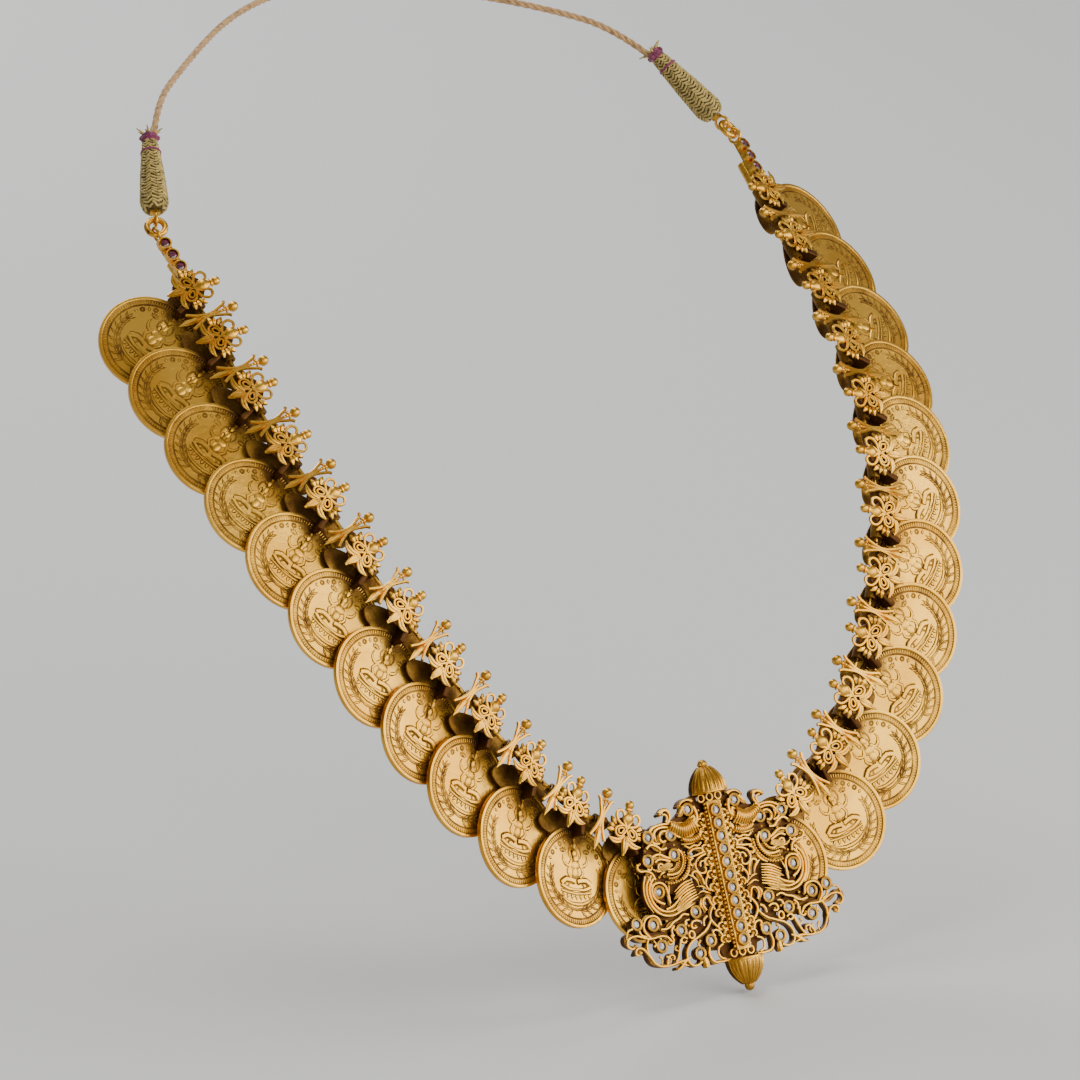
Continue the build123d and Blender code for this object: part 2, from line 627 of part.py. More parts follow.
def revolved_sleeve():
    """Thread wound sleeve along +Y from its foot, hollow for the cord."""
    shares = [(0.0, 3.4), (0.12, 5.4), (0.5, 4.5), (0.8, 3.5), (1.0, 2.7)]
    hole = cord_diameter / 2 + sleeve_clearance
    outer = [(size / 2, share * sleeve_length) for share, size in shares]
    face = make_face(Polyline((hole, 0), *outer, (hole, sleeve_length), close=True))
    return revolve(face, Axis.Y)


sleeve_at_tie = 1.75
end_middle = corners[0] + to_clasp * (end_gap + end_tube_length / 2)
end_frame = (end_middle, run_frame(0, 0, 0, 0, 0)[1], to_clasp)
end_plane = Plane(origin=end_middle, x_dir=to_clasp.cross(end_frame[1]), z_dir=end_frame[1])
eyelet_middle = end_plane.from_local_coords(Vector(0, eyelet_up, bar_front - 0.5))
ring_middle = eyelet_middle + clasp_direction * ring_radius
clasp_face = (end_frame[1] - clasp_direction * end_frame[1].dot(clasp_direction)).normalized()
clasp_frame = (ring_middle, clasp_face, clasp_direction)


def hook():
    """Hook whose loop holds the ring; the shank runs up into the sleeve. Origin at the ring."""
    loop = Pos(0, ring_radius, 0) * Rot(0, 90, 0) * Torus(loop_radius, loop_wire / 2)
    plate_foot = ring_radius + loop_radius
    plate_size = shank_start - plate_foot - 0.15
    plate = Pos(0, plate_foot + plate_size / 2, 0) * Box(2.0, plate_size, 1.4)
    shank_foot = plate_foot + plate_size / 2
    shank_top = shank_start + shank_length
    shank = Pos(0, (shank_foot + shank_top) / 2, 0) * Rot(90, 0, 0) * Cylinder(
        cord_diameter / 2, shank_top - shank_foot)
    return plate.fuse(shank, loop)


def save(node, shape):
    """Write one node's solids."""
    export_step(shape, f"parts/{node}.step")
    print(f"{node}: {len(shape.solids())} solids, {shape.volume:.1f} mm3")


os.makedirs("parts", exist_ok=True)

for side, name in ((-1, "left"), (1, "right")):
    usual = coin_link(coin_lean, coin_tilt, 0, side)
    last = coin_link(last_lean, last_tilt, last_flower_turn, side, last_stem_width, last_side_leaf)
    for number in range(1, coins_per_side + 1):
        is_last = number == coins_per_side
        lean, tilt = (last_lean, last_tilt) if is_last else (coin_lean, coin_tilt)
        share = last_share if is_last else coin_share
        middle, normal, up = run_frame(number, share, number, lean, tilt)
        coin_middle = middle - up * tube_place.Y - normal * tube_place.Z
        link = set_in_place(last if is_last else usual, (coin_middle, normal, up), side)
        save(f"coin_link_{name}_{number:02d}", link)
    model = spacer(side)
    copies = []
    for number in range(1, coins_per_side):
        frame = run_frame(number, spacer_share, number + 0.5, coin_lean, 0)
        copies.append(set_in_place(model, frame, side))
    save(f"spacers_{name}", Compound(copies))
    points = wire_points if side < 0 else [mirrored(point) for point in wire_points]
    wire, radii, length, ratio = round_tube(points, wire_diameter)
    print(f"carrying wire: length {length:.1f}, smallest radius {min(radii):.1f}, volume ratio {ratio:.4f}")
    save(f"carrying_wire_{name}", wire)
    save(f"end_link_{name}", set_in_place(end_link(), end_frame, side))
    ring = Torus(ring_radius, ring_wire / 2)
    save(f"band_ring_{name}", set_in_place(ring, clasp_frame, side))
    save(f"hook_{name}", set_in_place(hook(), clasp_frame, side))
    sleeve = Pos(0, shank_start, 0) * revolved_sleeve()
    save(f"sleeve_{name}", set_in_place(sleeve, clasp_frame, side))
    tie_radius = sleeve_at_tie + tie_clearance + tie_wire / 2
    tie = Pos(0, shank_start + tie_share * sleeve_length, 0) * Rot(90, 0, 0) * Torus(tie_radius, tie_wire / 2)
    save(f"tie_thread_{name}", set_in_place(tie, clasp_frame, side))

red_stones = []
for side in (-1, 1):
    for step in range(3):
        stone = Pos(0, step * red_pitch, red_face) * faceted_stone(red_stone_diameter)
        red_stones.append(set_in_place(stone, end_frame, side))
save("red_stones", Compound(red_stones))

cord_start = ring_middle + clasp_direction * (shank_start + shank_length)
cord_bend = ring_middle + clasp_direction * (shank_start + sleeve_length + cord_past_sleeve)
cord_half = [cord_start, cord_bend, *(Vector(*point) for point in CORD_ROUTE)]
cord_points = cord_half + [mirrored(point) for point in reversed(cord_half[:-1])]
cord, cord_radii, cord_length, cord_ratio = round_tube(cord_points, cord_diameter)
print("cord points", [tuple(round(c, 2) for c in point) for point in cord_points])
print(f"back cord: length {cord_length:.1f}, radii {[round(r, 1) for r in cord_radii]}, volume ratio {cord_ratio:.4f}")
save("back_cord", cord)

save("pendant_frame", pendant_plane.location * pendant())
stone = faceted_stone(stone_diameter)
white_stones = [Pos(0, -step * column_pitch, 0) * stone for step in range(column_stones)]
for out, down in SIDE_STONES:
    for side in (-1, 1):
        white_stones.append(Pos(*on_pendant(side * out, down, side_face)) * stone)
save("pendant_stones", Compound([pendant_plane.location * stone for stone in white_stones]))
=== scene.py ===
"""Coin necklace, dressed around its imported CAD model.

Each sub-assembly is a class that holds its sizes in millimetres and builds its pieces in its own axes:
X to the right seen from the front, Y up and Z to the front. A place matrix then sets them in the
frame, in metres.
"""

import json
import logging
import math
from collections.abc import Callable, Iterable, Iterator, Sequence
from contextlib import contextmanager
from dataclasses import dataclass, replace
from enum import Enum

import bmesh
import bpy
import numpy as np
from mathutils import Matrix, Vector

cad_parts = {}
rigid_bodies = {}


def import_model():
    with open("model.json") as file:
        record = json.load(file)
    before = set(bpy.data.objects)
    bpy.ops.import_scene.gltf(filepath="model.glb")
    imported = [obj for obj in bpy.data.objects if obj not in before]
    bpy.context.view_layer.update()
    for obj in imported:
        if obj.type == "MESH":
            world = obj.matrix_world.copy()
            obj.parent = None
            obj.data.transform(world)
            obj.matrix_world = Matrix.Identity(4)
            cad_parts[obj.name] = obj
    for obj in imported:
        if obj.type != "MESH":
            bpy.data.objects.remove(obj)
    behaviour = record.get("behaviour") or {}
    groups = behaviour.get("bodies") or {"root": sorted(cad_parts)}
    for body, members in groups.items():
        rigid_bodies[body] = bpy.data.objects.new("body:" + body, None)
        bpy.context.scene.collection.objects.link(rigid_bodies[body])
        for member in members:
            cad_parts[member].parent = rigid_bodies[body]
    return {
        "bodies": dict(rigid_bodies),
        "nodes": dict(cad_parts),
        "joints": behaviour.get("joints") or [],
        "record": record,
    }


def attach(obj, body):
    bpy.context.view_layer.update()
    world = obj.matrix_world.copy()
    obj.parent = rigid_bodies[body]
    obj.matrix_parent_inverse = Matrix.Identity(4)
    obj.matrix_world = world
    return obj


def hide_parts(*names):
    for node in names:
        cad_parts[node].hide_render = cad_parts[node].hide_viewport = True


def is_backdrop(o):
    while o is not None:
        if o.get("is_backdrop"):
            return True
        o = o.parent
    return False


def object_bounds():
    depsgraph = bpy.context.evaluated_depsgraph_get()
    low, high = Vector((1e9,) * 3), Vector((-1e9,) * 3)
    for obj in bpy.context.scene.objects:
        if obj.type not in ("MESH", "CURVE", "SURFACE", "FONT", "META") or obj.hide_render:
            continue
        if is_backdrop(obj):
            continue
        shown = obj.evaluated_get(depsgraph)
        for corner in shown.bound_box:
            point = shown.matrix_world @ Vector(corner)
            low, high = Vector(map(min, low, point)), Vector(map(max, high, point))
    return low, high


MM = 0.001
# Mesh attribute of wear; on stems, tubes, plates, the rings beside the coins' relief and the ground under the
# flowers it holds painted shade
WEAR_AND_SHADE = "wear"
Pair = tuple[float, float]
Triple = tuple[float, float, float]
Grain = tuple[float, float, float, float]
Colour = tuple[float, float, float, float]
log = logging.getLogger("coin_necklace")

# Places of the stones beside the pendant's column, out and down in millimetres
SIDE_STONES = [
    (5.8, -1.2), (11.1, 2.95), (16.6, 2.6), (11.3, 6.9), (17.8, 7.0), (16.75, 13.4), (9.1, 18.65),
    (23.6, 18.6), (19.75, 19.4), (13.4, 21.6), (18.75, 23.8), (6.85, 24.75), (10.0, 26.75),
]

# Left half of the back cord's route, from inside the sleeve to the nape, in millimetres
CORD_ROUTE = [
    (-68.5, -43.39, -25.36), (-60.64, -30.59, -11.85), (-41.7, -18.8, -4.9), (-21.0, -5.0, -1.0),
    (0.0, 1.6, 0.7),
]


class Side(Enum):
    """Half of the necklace, with the sign of its X."""

    LEFT = -1
    RIGHT = 1

    @property
    def label(self) -> str:
        """Name that the half's nodes end in."""
        return self.name.lower()


class Taper(Enum):
    """How a stroke's width runs from its first point to its last."""

    EVEN = (1.0, 1.0)
    LEAF = (0.12, 0.75, 1.0, 0.75, 0.12)
    BUD = (0.5, 1.0, 1.0, 0.75, 0.3)
    HORN = (1.0, 0.9, 0.65, 0.3)
    KNOB = (0.7, 0.8, 1.0, 1.35)


class Spot(Enum):
    """Where a coin link hangs in its half."""

    FIRST = "beside the clasp"
    MIDDLE = "between two others"
    LAST = "beside the pendant"


class Hollow(Enum):
    """Where a gold finish finds its hollows."""

    WRITTEN = "the piece's own attribute"
    # Painted shade: the pendant's plate is darker the deeper a place lies behind its face, for the shade
    # between the wires
    PENDANT = "depth behind the pendant's face"
    NOWHERE = "cloudy patches alone"


@dataclass(frozen=True)
class Stroke:
    """Round wire or leaf that follows a few points.

    Args:
        points: Places along it in millimetres, as (x, y) or (x, y, z).
        radius: Half of its full width in millimetres.
        taper: How its width changes along it.
        closed: Whether its end joins its start.
    """

    points: tuple[tuple[float, ...], ...]
    radius: float
    taper: Taper = Taper.EVEN
    closed: bool = False

    def widths(self) -> list[float]:
        """Radius at each point.

        Returns:
            A radius for each point, in millimetres.
        """
        shares = np.linspace(0, 1, len(self.points))
        stops = np.linspace(0, 1, len(self.taper.value))
        return [self.radius * float(w) for w in np.interp(shares, stops, self.taper.value)]

    def mirrored(self) -> "Stroke":
        """The same stroke on the other side of the Y axis."""
        return replace(self, points=tuple((-p[0], *p[1:]) for p in self.points))

    def moved(self, x: float, y: float, z: float = 0.0, turn: float = 0.0, grow: float = 1.0) -> "Stroke":
        """The stroke grown, turned in degrees about Z and then moved.

        Args:
            x: Move to the right.
            y: Move up.
            z: Move to the front.
            turn: Degrees anticlockwise.
            grow: Factor on the points, but not on the width.

        Returns:
            The new stroke.
        """
        c, s = math.cos(math.radians(turn)) * grow, math.sin(math.radians(turn)) * grow
        points = []
        for point in self.points:
            px, py, pz = (*point, 0.0)[:3]
            points.append((x + c * px - s * py, y + s * px + c * py, z + pz))
        return replace(self, points=tuple(points))


def circle(radius: float, steps: int) -> list[Pair]:
    """Even places on a circle about the origin."""
    turns = [math.tau * k / steps for k in range(steps)]
    return [(radius * math.cos(a), radius * math.sin(a)) for a in turns]


def ring_stroke(x: float, y: float, radius: float, wire: float) -> Stroke:
    """Closed round wire about a place."""
    return Stroke(tuple((x + out, y + up) for out, up in circle(radius, 6)), wire, closed=True)


def both_sides(strokes: Iterable[Stroke]) -> list[Stroke]:
    """The strokes and their mirror images."""
    kept = list(strokes)
    return kept + [stroke.mirrored() for stroke in kept]


def place_of(origin: Vector, across: Vector, up: Vector, facing: Vector, size: float = MM) -> Matrix:
    """Matrix from a piece's own axes and units to the frame, in metres."""
    axes = Matrix((across, up, facing)).transposed().to_4x4()
    return Matrix.Translation(origin) @ axes @ Matrix.Scale(size, 4)


class Bench:
    """Blender's tools, used as by hand, for pieces in millimetres."""

    @staticmethod
    def clear() -> None:
        """Leave edit mode and deselect everything."""
        active = bpy.context.view_layer.objects.active
        if active is not None and active.mode != "OBJECT":
            bpy.ops.object.mode_set(mode="OBJECT")
        bpy.ops.object.select_all(action="DESELECT")

    @staticmethod
    def pick(*objects: bpy.types.Object) -> None:
        """Select these objects alone, with the first one active.

        Args:
            objects: What is selected.
        """
        Bench.clear()
        for each in objects:
            each.select_set(True)
        bpy.context.view_layer.objects.active = objects[0]

    @staticmethod
    def added(name: str) -> bpy.types.Object:
        """Name the active object and its data.

        Args:
            name: The name.

        Returns:
            The active object.
        """
        made = bpy.context.view_layer.objects.active
        made.name = name
        made.data.name = name
        return made

    @staticmethod
    def linked(name: str, data: bpy.types.ID) -> bpy.types.Object:
        """Show new data in the scene.

        Args:
            name: Name of the object.
            data: What it shows.

        Returns:
            The new object.
        """
        made = bpy.data.objects.new(name, data)
        bpy.context.scene.collection.objects.link(made)
        return made

    @staticmethod
    def primitive(name: str, add: Callable[..., set[str]], **options: object) -> bpy.types.Object:
        """Add one of Blender's primitives and apply its place, turn and scale.

        Args:
            name: Name of the mesh.
            add: Operator that adds it.
            **options: What the operator is given.

        Returns:
            The new object.
        """
        Bench.clear()
        add(**options)
        made = Bench.added(name)
        bpy.ops.object.transform_apply(location=True, rotation=True, scale=True)
        return made

    @staticmethod
    @contextmanager
    def editing() -> Iterator[None]:
        """Edit the active object's mesh, with all of it selected at first.

        Returns:
            A context that ends in object mode.
        """
        bpy.ops.object.mode_set(mode="EDIT")
        bpy.ops.mesh.select_all(action="SELECT")
        yield
        bpy.ops.object.mode_set(mode="OBJECT")

    @staticmethod
    def soften(made: bpy.types.Object, width: float) -> None:
        """Round the sharp edges of the active object.

        Args:
            made: The object.
            width: Of the rounding, in millimetres.
        """
        edge = made.modifiers.new("soft edge", "BEVEL")
        edge.width = width
        edge.segments = 2
        edge.angle_limit = math.radians(50)
        bpy.ops.object.modifier_apply(modifier=edge.name)

    @staticmethod
    def select_faces(made: bpy.types.Object, level: float) -> None:
        """Select the faces that look to +Z at a height, in edit mode.

        Args:
            made: The object in edit mode.
            level: Height of the faces' middles in millimetres.
        """
        bpy.ops.mesh.select_all(action="DESELECT")
        shape = bmesh.from_edit_mesh(made.data)
        for face in shape.faces:
            near = abs(face.calc_center_median().z - level) < 1e-3
            face.select_set(near and face.normal.z > 0.9)
        bmesh.update_edit_mesh(made.data)

    @staticmethod
    def wires(name: str, strokes: Iterable[Stroke], steps: int = 3, roundness: int = 1,
              flatten: float = 1.0, level: float = 0.0) -> bpy.types.Object:
        """Model strokes as one mesh.

        Args:
            name: Name of the mesh.
            strokes: Wires and leaves in millimetres.
            steps: Parts between two points of a stroke.
            roundness: Bevel resolution of the round section.
            flatten: Factor on heights.
            level: Height that is added last.

        Returns:
            The new object.
        """
        data = bpy.data.curves.new(name, "CURVE")
        data.dimensions = "3D"
        data.bevel_depth = 1.0
        data.bevel_resolution = roundness
        data.resolution_u = steps
        data.use_fill_caps = True
        for stroke in strokes:
            spline = data.splines.new("BEZIER")
            spline.bezier_points.add(len(stroke.points) - 1)
            spline.use_cyclic_u = stroke.closed
            for knot, place, width in zip(spline.bezier_points, stroke.points, stroke.widths()):
                knot.co = (*place, 0.0)[:3]
                knot.handle_left_type = "AUTO"
                knot.handle_right_type = "AUTO"
                knot.radius = width
        Bench.pick(Bench.linked(name, data))
        bpy.ops.object.convert(target="MESH")
        made = Bench.added(name)
        with Bench.editing():
            bpy.ops.transform.resize(value=(1, 1, flatten), center_override=(0, 0, 0))
            bpy.ops.transform.translate(value=(0, 0, level))
        return made

    @staticmethod
    def stamp(name: str, model: bpy.types.Object, places: Iterable[Matrix]) -> bpy.types.Object:
        """Copy a model to each place, as one mesh, and drop the model.

        Args:
            name: Name of the new mesh.
            model: What is copied.
            places: One matrix a copy.

        Returns:
            The new object.
        """
        gathered = bmesh.new()
        for place in places:
            copy = model.data.copy()
            copy.transform(place)
            gathered.from_mesh(copy)
            bpy.data.meshes.remove(copy)
        mesh = bpy.data.meshes.new(name)
        gathered.to_mesh(mesh)
        gathered.free()
        bpy.data.objects.remove(model)
        return Bench.linked(name, mesh)

    @staticmethod
    def balls(name: str, places: Sequence[Grain], detail: int = 2) -> bpy.types.Object:
        """Model round grains.

        Args:
            name: Name of the mesh.
            places: Middle and radius of each grain in millimetres.
            detail: Subdivisions of each grain.

        Returns:
            The new object.
        """
        add = bpy.ops.mesh.primitive_ico_sphere_add
        model = Bench.primitive(name + "_model", add, subdivisions=detail, radius=1.0)
        moves = [Matrix.Translation((x, y, z)) @ Matrix.Scale(r, 4) for x, y, z, r in places]
        return Bench.stamp(name, model, moves)

    @staticmethod
    def lathe(name: str, profile: Sequence[Pair], sides: int = 20) -> bpy.types.Object:
        """Turn a closed piece about the Y axis.

        Args:
            name: Name of the mesh.
            profile: Radius and height of each ring, from the foot to the top, in millimetres.
            sides: Sides of a ring.

        Returns:
            The new object.
        """
        (foot_radius, foot), *rest = profile
        made = Bench.primitive(
            name, bpy.ops.mesh.primitive_circle_add, vertices=sides, radius=foot_radius,
            fill_type="NGON", location=(0, foot, 0), rotation=(-math.pi / 2, 0, 0))
        height, radius = foot, foot_radius
        with Bench.editing():
            for next_radius, next_height in rest:
                move = {"value": (0, next_height - height, 0)}
                bpy.ops.mesh.extrude_region_move(TRANSFORM_OT_translate=move)
                grow = next_radius / radius
                bpy.ops.transform.resize(value=(grow, 1, grow), center_override=(0, next_height, 0))
                height, radius = next_height, next_radius
            bpy.ops.mesh.select_all(action="SELECT")
            bpy.ops.mesh.normals_make_consistent(inside=False)
        return made

    @staticmethod
    def write(made: bpy.types.Object, levels: Sequence[float]) -> bpy.types.Object:
        """Write how far each point stands out.

        Args:
            made: The object.
            levels: From 0 in the hollows to 1 on top, for each point of its mesh.

        Returns:
            The same object.
        """
        attribute = made.data.attributes.new(WEAR_AND_SHADE, "FLOAT", "POINT")
        attribute.data.foreach_set("value", levels)
        return made

    @staticmethod
    def wear(made: bpy.types.Object, low: float, high: float) -> bpy.types.Object:
        """Write a mesh's wear by its heights, from hollows at low to what is rubbed bright at high."""
        heights = [(v.co.z - low) / (high - low) for v in made.data.vertices]
        return Bench.write(made, [min(1.0, max(0.0, height)) for height in heights])

    @staticmethod
    def paint(made: bpy.types.Object, share: float) -> bpy.types.Object:
        """Write the same value of the wear attribute, which on some pieces holds painted shade, on every
        point of a mesh.
        """
        return Bench.write(made, [share] * len(made.data.vertices))

    @staticmethod
    def join(name: str, *objects: bpy.types.Object) -> bpy.types.Object:
        """Make one smooth shaded object of several.

        Args:
            name: Name of the result.
            *objects: What is joined.

        Returns:
            The joined object.
        """
        Bench.pick(*objects)
        if len(objects) > 1:
            bpy.ops.object.join()
        made = Bench.added(name)
        bpy.ops.object.shade_smooth_by_angle(angle=math.radians(42))
        return made

    @staticmethod
    def copy(model: bpy.types.Object, name: str, place: Matrix | None = None) -> bpy.types.Object:
        """Copy an object with a mesh of its own.

        Args:
            model: What is copied.
            name: Name of the copy.
            place: Where its mesh is set, or None to leave it.

        Returns:
            The copy.
        """
        made = model.copy()
        made.data = model.data.copy()
        made.name = name
        made.data.name = name
        bpy.context.scene.collection.objects.link(made)
        if place is not None:
            made.data.transform(place)
        return made


class Value:
    """Socket of a shader node that reads like a number."""

    def __init__(self, shader: "Shader", socket: bpy.types.NodeSocket) -> None:
        """Hold a socket and the shader that it is in."""
        self.shader = shader
        self.socket = socket

    def _math(self, operation: str, first: "Value | float", second: "Value | float") -> "Value":
        """Add one Math node."""
        return self.shader.node("ShaderNodeMath", {"operation": operation}, {0: first, 1: second})

    def __add__(self, other: "Value | float") -> "Value":
        """Sum."""
        return self._math("ADD", self, other)

    __radd__ = __add__

    def __mul__(self, other: "Value | float") -> "Value":
        """Product."""
        return self._math("MULTIPLY", self, other)

    __rmul__ = __mul__

    def __sub__(self, other: "Value | float") -> "Value":
        """Difference."""
        return self._math("SUBTRACT", self, other)

    def __rsub__(self, other: "Value | float") -> "Value":
        """Difference from a number."""
        return self._math("SUBTRACT", other, self)

    def clamped(self, low: float, high: float) -> "Value":
        """Share of the way from low to high, from 0 to 1, smoothly."""
        inputs = {"Value": self, "From Min": low, "From Max": high}
        return self.shader.node("ShaderNodeMapRange", {"interpolation_type": "SMOOTHSTEP"}, inputs)


class Shader:
    """Node tree of one material."""

    def __init__(self, name: str) -> None:
        """Make the material with its Principled node.

        Args:
            name: Name of the material.
        """
        self.material = bpy.data.materials.new(name)
        self.material.use_nodes = True
        self.tree = self.material.node_tree
        self.surface = self.tree.nodes["Principled BSDF"]

    def node(self, kind: str, settings: dict, inputs: dict, output: int | str = 0) -> Value:
        """Add a node.

        Args:
            kind: Blender's name of its type.
            settings: Values of its own properties, set first.
            inputs: Value, colour or link for each socket, by name, place or identifier.
            output: Place, name or identifier of the socket that is handed back.

        Returns:
            The chosen output.
        """
        made = self.tree.nodes.new(kind)
        for key, setting in settings.items():
            setattr(made, key, setting)
        for key, given in inputs.items():
            self.feed(self.socket(made.inputs, key), given)
        return Value(self, self.socket(made.outputs, output))

    @staticmethod
    def socket(sockets: bpy.types.bpy_prop_collection, key: int | str) -> bpy.types.NodeSocket:
        """Find a socket by place, identifier or name.

        Args:
            sockets: Inputs or outputs of a node.
            key: Which of them.

        Returns:
            The socket.
        """
        if isinstance(key, int):
            return sockets[key]
        for each in sockets:
            if each.identifier == key:
                return each
        return sockets[key]

    def feed(self, socket: bpy.types.NodeSocket, given: object) -> None:
        """Link or set a socket.

        Args:
            socket: An input.
            given: Output, number or colour for it.
        """
        if isinstance(given, Value):
            self.tree.links.new(given.socket, socket)
        else:
            socket.default_value = given

    def set(self, **values: object) -> None:
        """Feed sockets of the Principled node, named with _ for spaces."""
        for key, given in values.items():
            self.feed(self.surface.inputs[key.replace("_", " ")], given)

    def place(self) -> Value:
        """Object coordinates in metres."""
        return self.node("ShaderNodeTexCoord", {}, {}, "Object")

    def written(self) -> Value:
        """Wear and painted shade that are written on the mesh."""
        return self.node("ShaderNodeAttribute", {"attribute_name": WEAR_AND_SHADE}, {}, "Fac")

    def noise(self, size: float, detail: float = 2.0, stretch: Triple = (1, 1, 1)) -> Value:
        """Cloudy pattern around 0.5 on Object coordinates, its clouds size metres wide."""
        place = self.node("ShaderNodeMapping", {}, {"Vector": self.place(), "Scale": stretch})
        return self.node("ShaderNodeTexNoise", {}, {"Vector": place, "Scale": 1 / size, "Detail": detail})

    def blend(self, share: Value, first: object, second: object) -> Value:
        """Colour between two, by a share."""
        inputs = {"Factor_Float": share, "A_Color": first, "B_Color": second}
        return self.node("ShaderNodeMix", {"data_type": "RGBA"}, inputs, "Result_Color")

    def bump(self, height: Value, depth: float, strength: float) -> Value:
        """Normal from a pattern from 0 to 1 that is depth metres deep, used by a share."""
        return self.node("ShaderNodeBump", {}, {"Height": height, "Distance": depth, "Strength": strength})


@dataclass(frozen=True)
class AntiqueGold:
    """Matte gold plating with brown left in its hollows."""

    name: str = "antique_gold"
    bright: Colour = (0.77, 0.43, 0.06, 1)
    warm: Colour = (0.63, 0.32, 0.035, 1)
    patina: Colour = (0.075, 0.028, 0.005, 1)
    hollow: Hollow = Hollow.WRITTEN
    shallow: float = 0.16
    # Painted shade of the pendant's plate: its level at the deepest and how far it lifts towards the face
    deep_painted_shade: float = 0.14
    face_shade_lift: float = 0.4
    depths: Pair = (-2.4 * MM, -0.6 * MM)
    rubbed_from: float = 0.80
    cloud: float = 0.0032
    cloud_share: float = 0.55
    patch: float = 0.0009
    tint: float = 0.012
    grain: float = 0.00022
    grain_share: float = 0.3
    swell: float = 0.001
    hammering: float = 0.00011
    polish: float = 0.33
    dull: float = 0.55

    def exposure(self, shader: Shader) -> Value:
        """How far a place stands out, from 0 to 1, with painted shade by depth behind the pendant's face.

        Args:
            shader: The material's node tree.

        Returns:
            The value.
        """
        if self.hollow is Hollow.WRITTEN:
            return shader.written()
        if self.hollow is Hollow.PENDANT:
            normal = Pendant.normal()
            depth = shader.node(
                "ShaderNodeVectorMath", {"operation": "DOT_PRODUCT"},
                {0: shader.place(), 1: tuple(normal)}, "Value")
            face = Vector(Pendant.middle).dot(normal) * MM
            # Painted shade: darker the deeper a place lies behind the pendant's face
            return self.deep_painted_shade + self.face_shade_lift * (depth - face).clamped(*self.depths)
        return shader.noise(self.patch, 2.0).clamped(0.15, 0.55)

    def material(self) -> bpy.types.Material:
        """Build the material.

        Returns:
            The material.
        """
        shader = Shader(self.name)
        exposure = self.exposure(shader)
        clouds = shader.noise(self.cloud, 3.0)
        grain = shader.noise(self.grain, 2.0)
        uneven = exposure + (clouds - 0.5) * self.cloud_share
        uneven = uneven + (grain - 0.5) * self.grain_share
        rubbed = uneven.clamped(self.shallow, self.rubbed_from)
        gold = shader.blend(shader.noise(self.tint, 1.0).clamped(0.35, 0.65), self.warm, self.bright)
        shader.set(
            Base_Color=shader.blend(rubbed, self.patina, gold),
            Metallic=0.86 + 0.14 * rubbed,
            Roughness=self.dull - (self.dull - self.polish) * rubbed + (grain - 0.5) * 0.12,
            Normal=shader.bump(grain * 0.4 + shader.noise(self.swell, 2.0), self.hammering, 0.5),
        )
        return shader.material


@dataclass(frozen=True)
class CutStone:
    """Clear or red cut stone, with painted glints on random facets."""

    name: str
    body: Colour
    # Pale colour painted on random facets as glints
    painted_glint: Colour
    clearness: float
    facet: float = 0.0005

    def material(self) -> bpy.types.Material:
        """Build the material.

        Returns:
            The material.
        """
        shader = Shader(self.name)
        cells = {"Vector": shader.place(), "Scale": 1 / self.facet}
        facets = shader.node("ShaderNodeTexVoronoi", {}, cells, "Color")
        glint_share = shader.node("ShaderNodeSeparateColor", {}, {"Color": facets}, "Red")
        # Painted glints: random facets take the pale colour
        shader.set(
            Base_Color=shader.blend(glint_share, self.body, self.painted_glint),
            Roughness=0.05 + 0.15 * glint_share,
            IOR=1.75,
            Transmission_Weight=self.clearness,
            Coat_Weight=0.6,
            Coat_Roughness=0.03,
        )
        return shader.material


@dataclass(frozen=True)
class Thread:
    """Wound or twisted thread."""

    name: str
    light: Colour
    dark: Colour
    metal: float
    sheen: float
    fibre: float = 0.00012
    patch: float = 0.0012
    relief: float = 0.00008

    def material(self) -> bpy.types.Material:
        """Build the material.

        Returns:
            The material.
        """
        shader = Shader(self.name)
        fibres = shader.noise(self.fibre, 3.0, (1.0, 1.0, 0.35))
        patches = shader.noise(self.patch, 2.0).clamped(0.2, 0.6)
        outer = shader.written()
        shader.set(
            Base_Color=shader.blend((patches * 0.6 + fibres * 0.4) * outer, self.dark, self.light),
            Metallic=self.metal,
            Roughness=0.42 + 0.3 * fibres,
            Sheen_Weight=self.sheen,
            Normal=shader.bump(fibres, self.relief, 0.7),
        )
        return shader.material


class Dresser:
    """Materials of the necklace, and how a piece gets one."""

    def __init__(self) -> None:
        """Build every material once."""
        self.gold = AntiqueGold().material()
        # Pendant's plate, with painted shade that grows darker the deeper it lies
        self.pendant_painted_shade = AntiqueGold("pendant_painted_shade", hollow=Hollow.PENDANT).material()
        self.plain_gold = AntiqueGold("plain_gold", hollow=Hollow.NOWHERE, shallow=0.05).material()
        self.dark_gold = AntiqueGold("dark_gold", hollow=Hollow.NOWHERE, shallow=0.75).material()
        # The second colour of each stone is its painted glint
        self.clear = CutStone(
            "clear_stone", (0.13, 0.115, 0.135, 1), (0.86, 0.82, 0.86, 1), clearness=0.2).material()
        self.red = CutStone(
            "red_stone", (0.035, 0.004, 0.012, 1), (0.17, 0.012, 0.05, 1), clearness=0.15).material()
        self.zari = Thread(
            "zari_thread", (0.60, 0.45, 0.14, 1), (0.085, 0.055, 0.012, 1), metal=0.45, sheen=0.05).material()
        self.silk = Thread(
            "silk_thread", (0.22, 0.012, 0.08, 1), (0.05, 0.003, 0.02, 1), metal=0.0, sheen=0.2).material()
        self.cotton = Thread(
            "tan_cord", (0.55, 0.33, 0.13, 1), (0.15, 0.07, 0.025, 1), metal=0.1, sheen=0.1).material()

    @staticmethod
    def dress(piece: bpy.types.Object, material: bpy.types.Material) -> bpy.types.Object:
        """Give a piece one material.

        Args:
            piece: New piece or CAD node.
            material: Its finish.

        Returns:
            The same piece.
        """
        if piece.data.materials:
            for slot in piece.material_slots:
                slot.material = material
        else:
            piece.data.materials.append(material)
        return piece


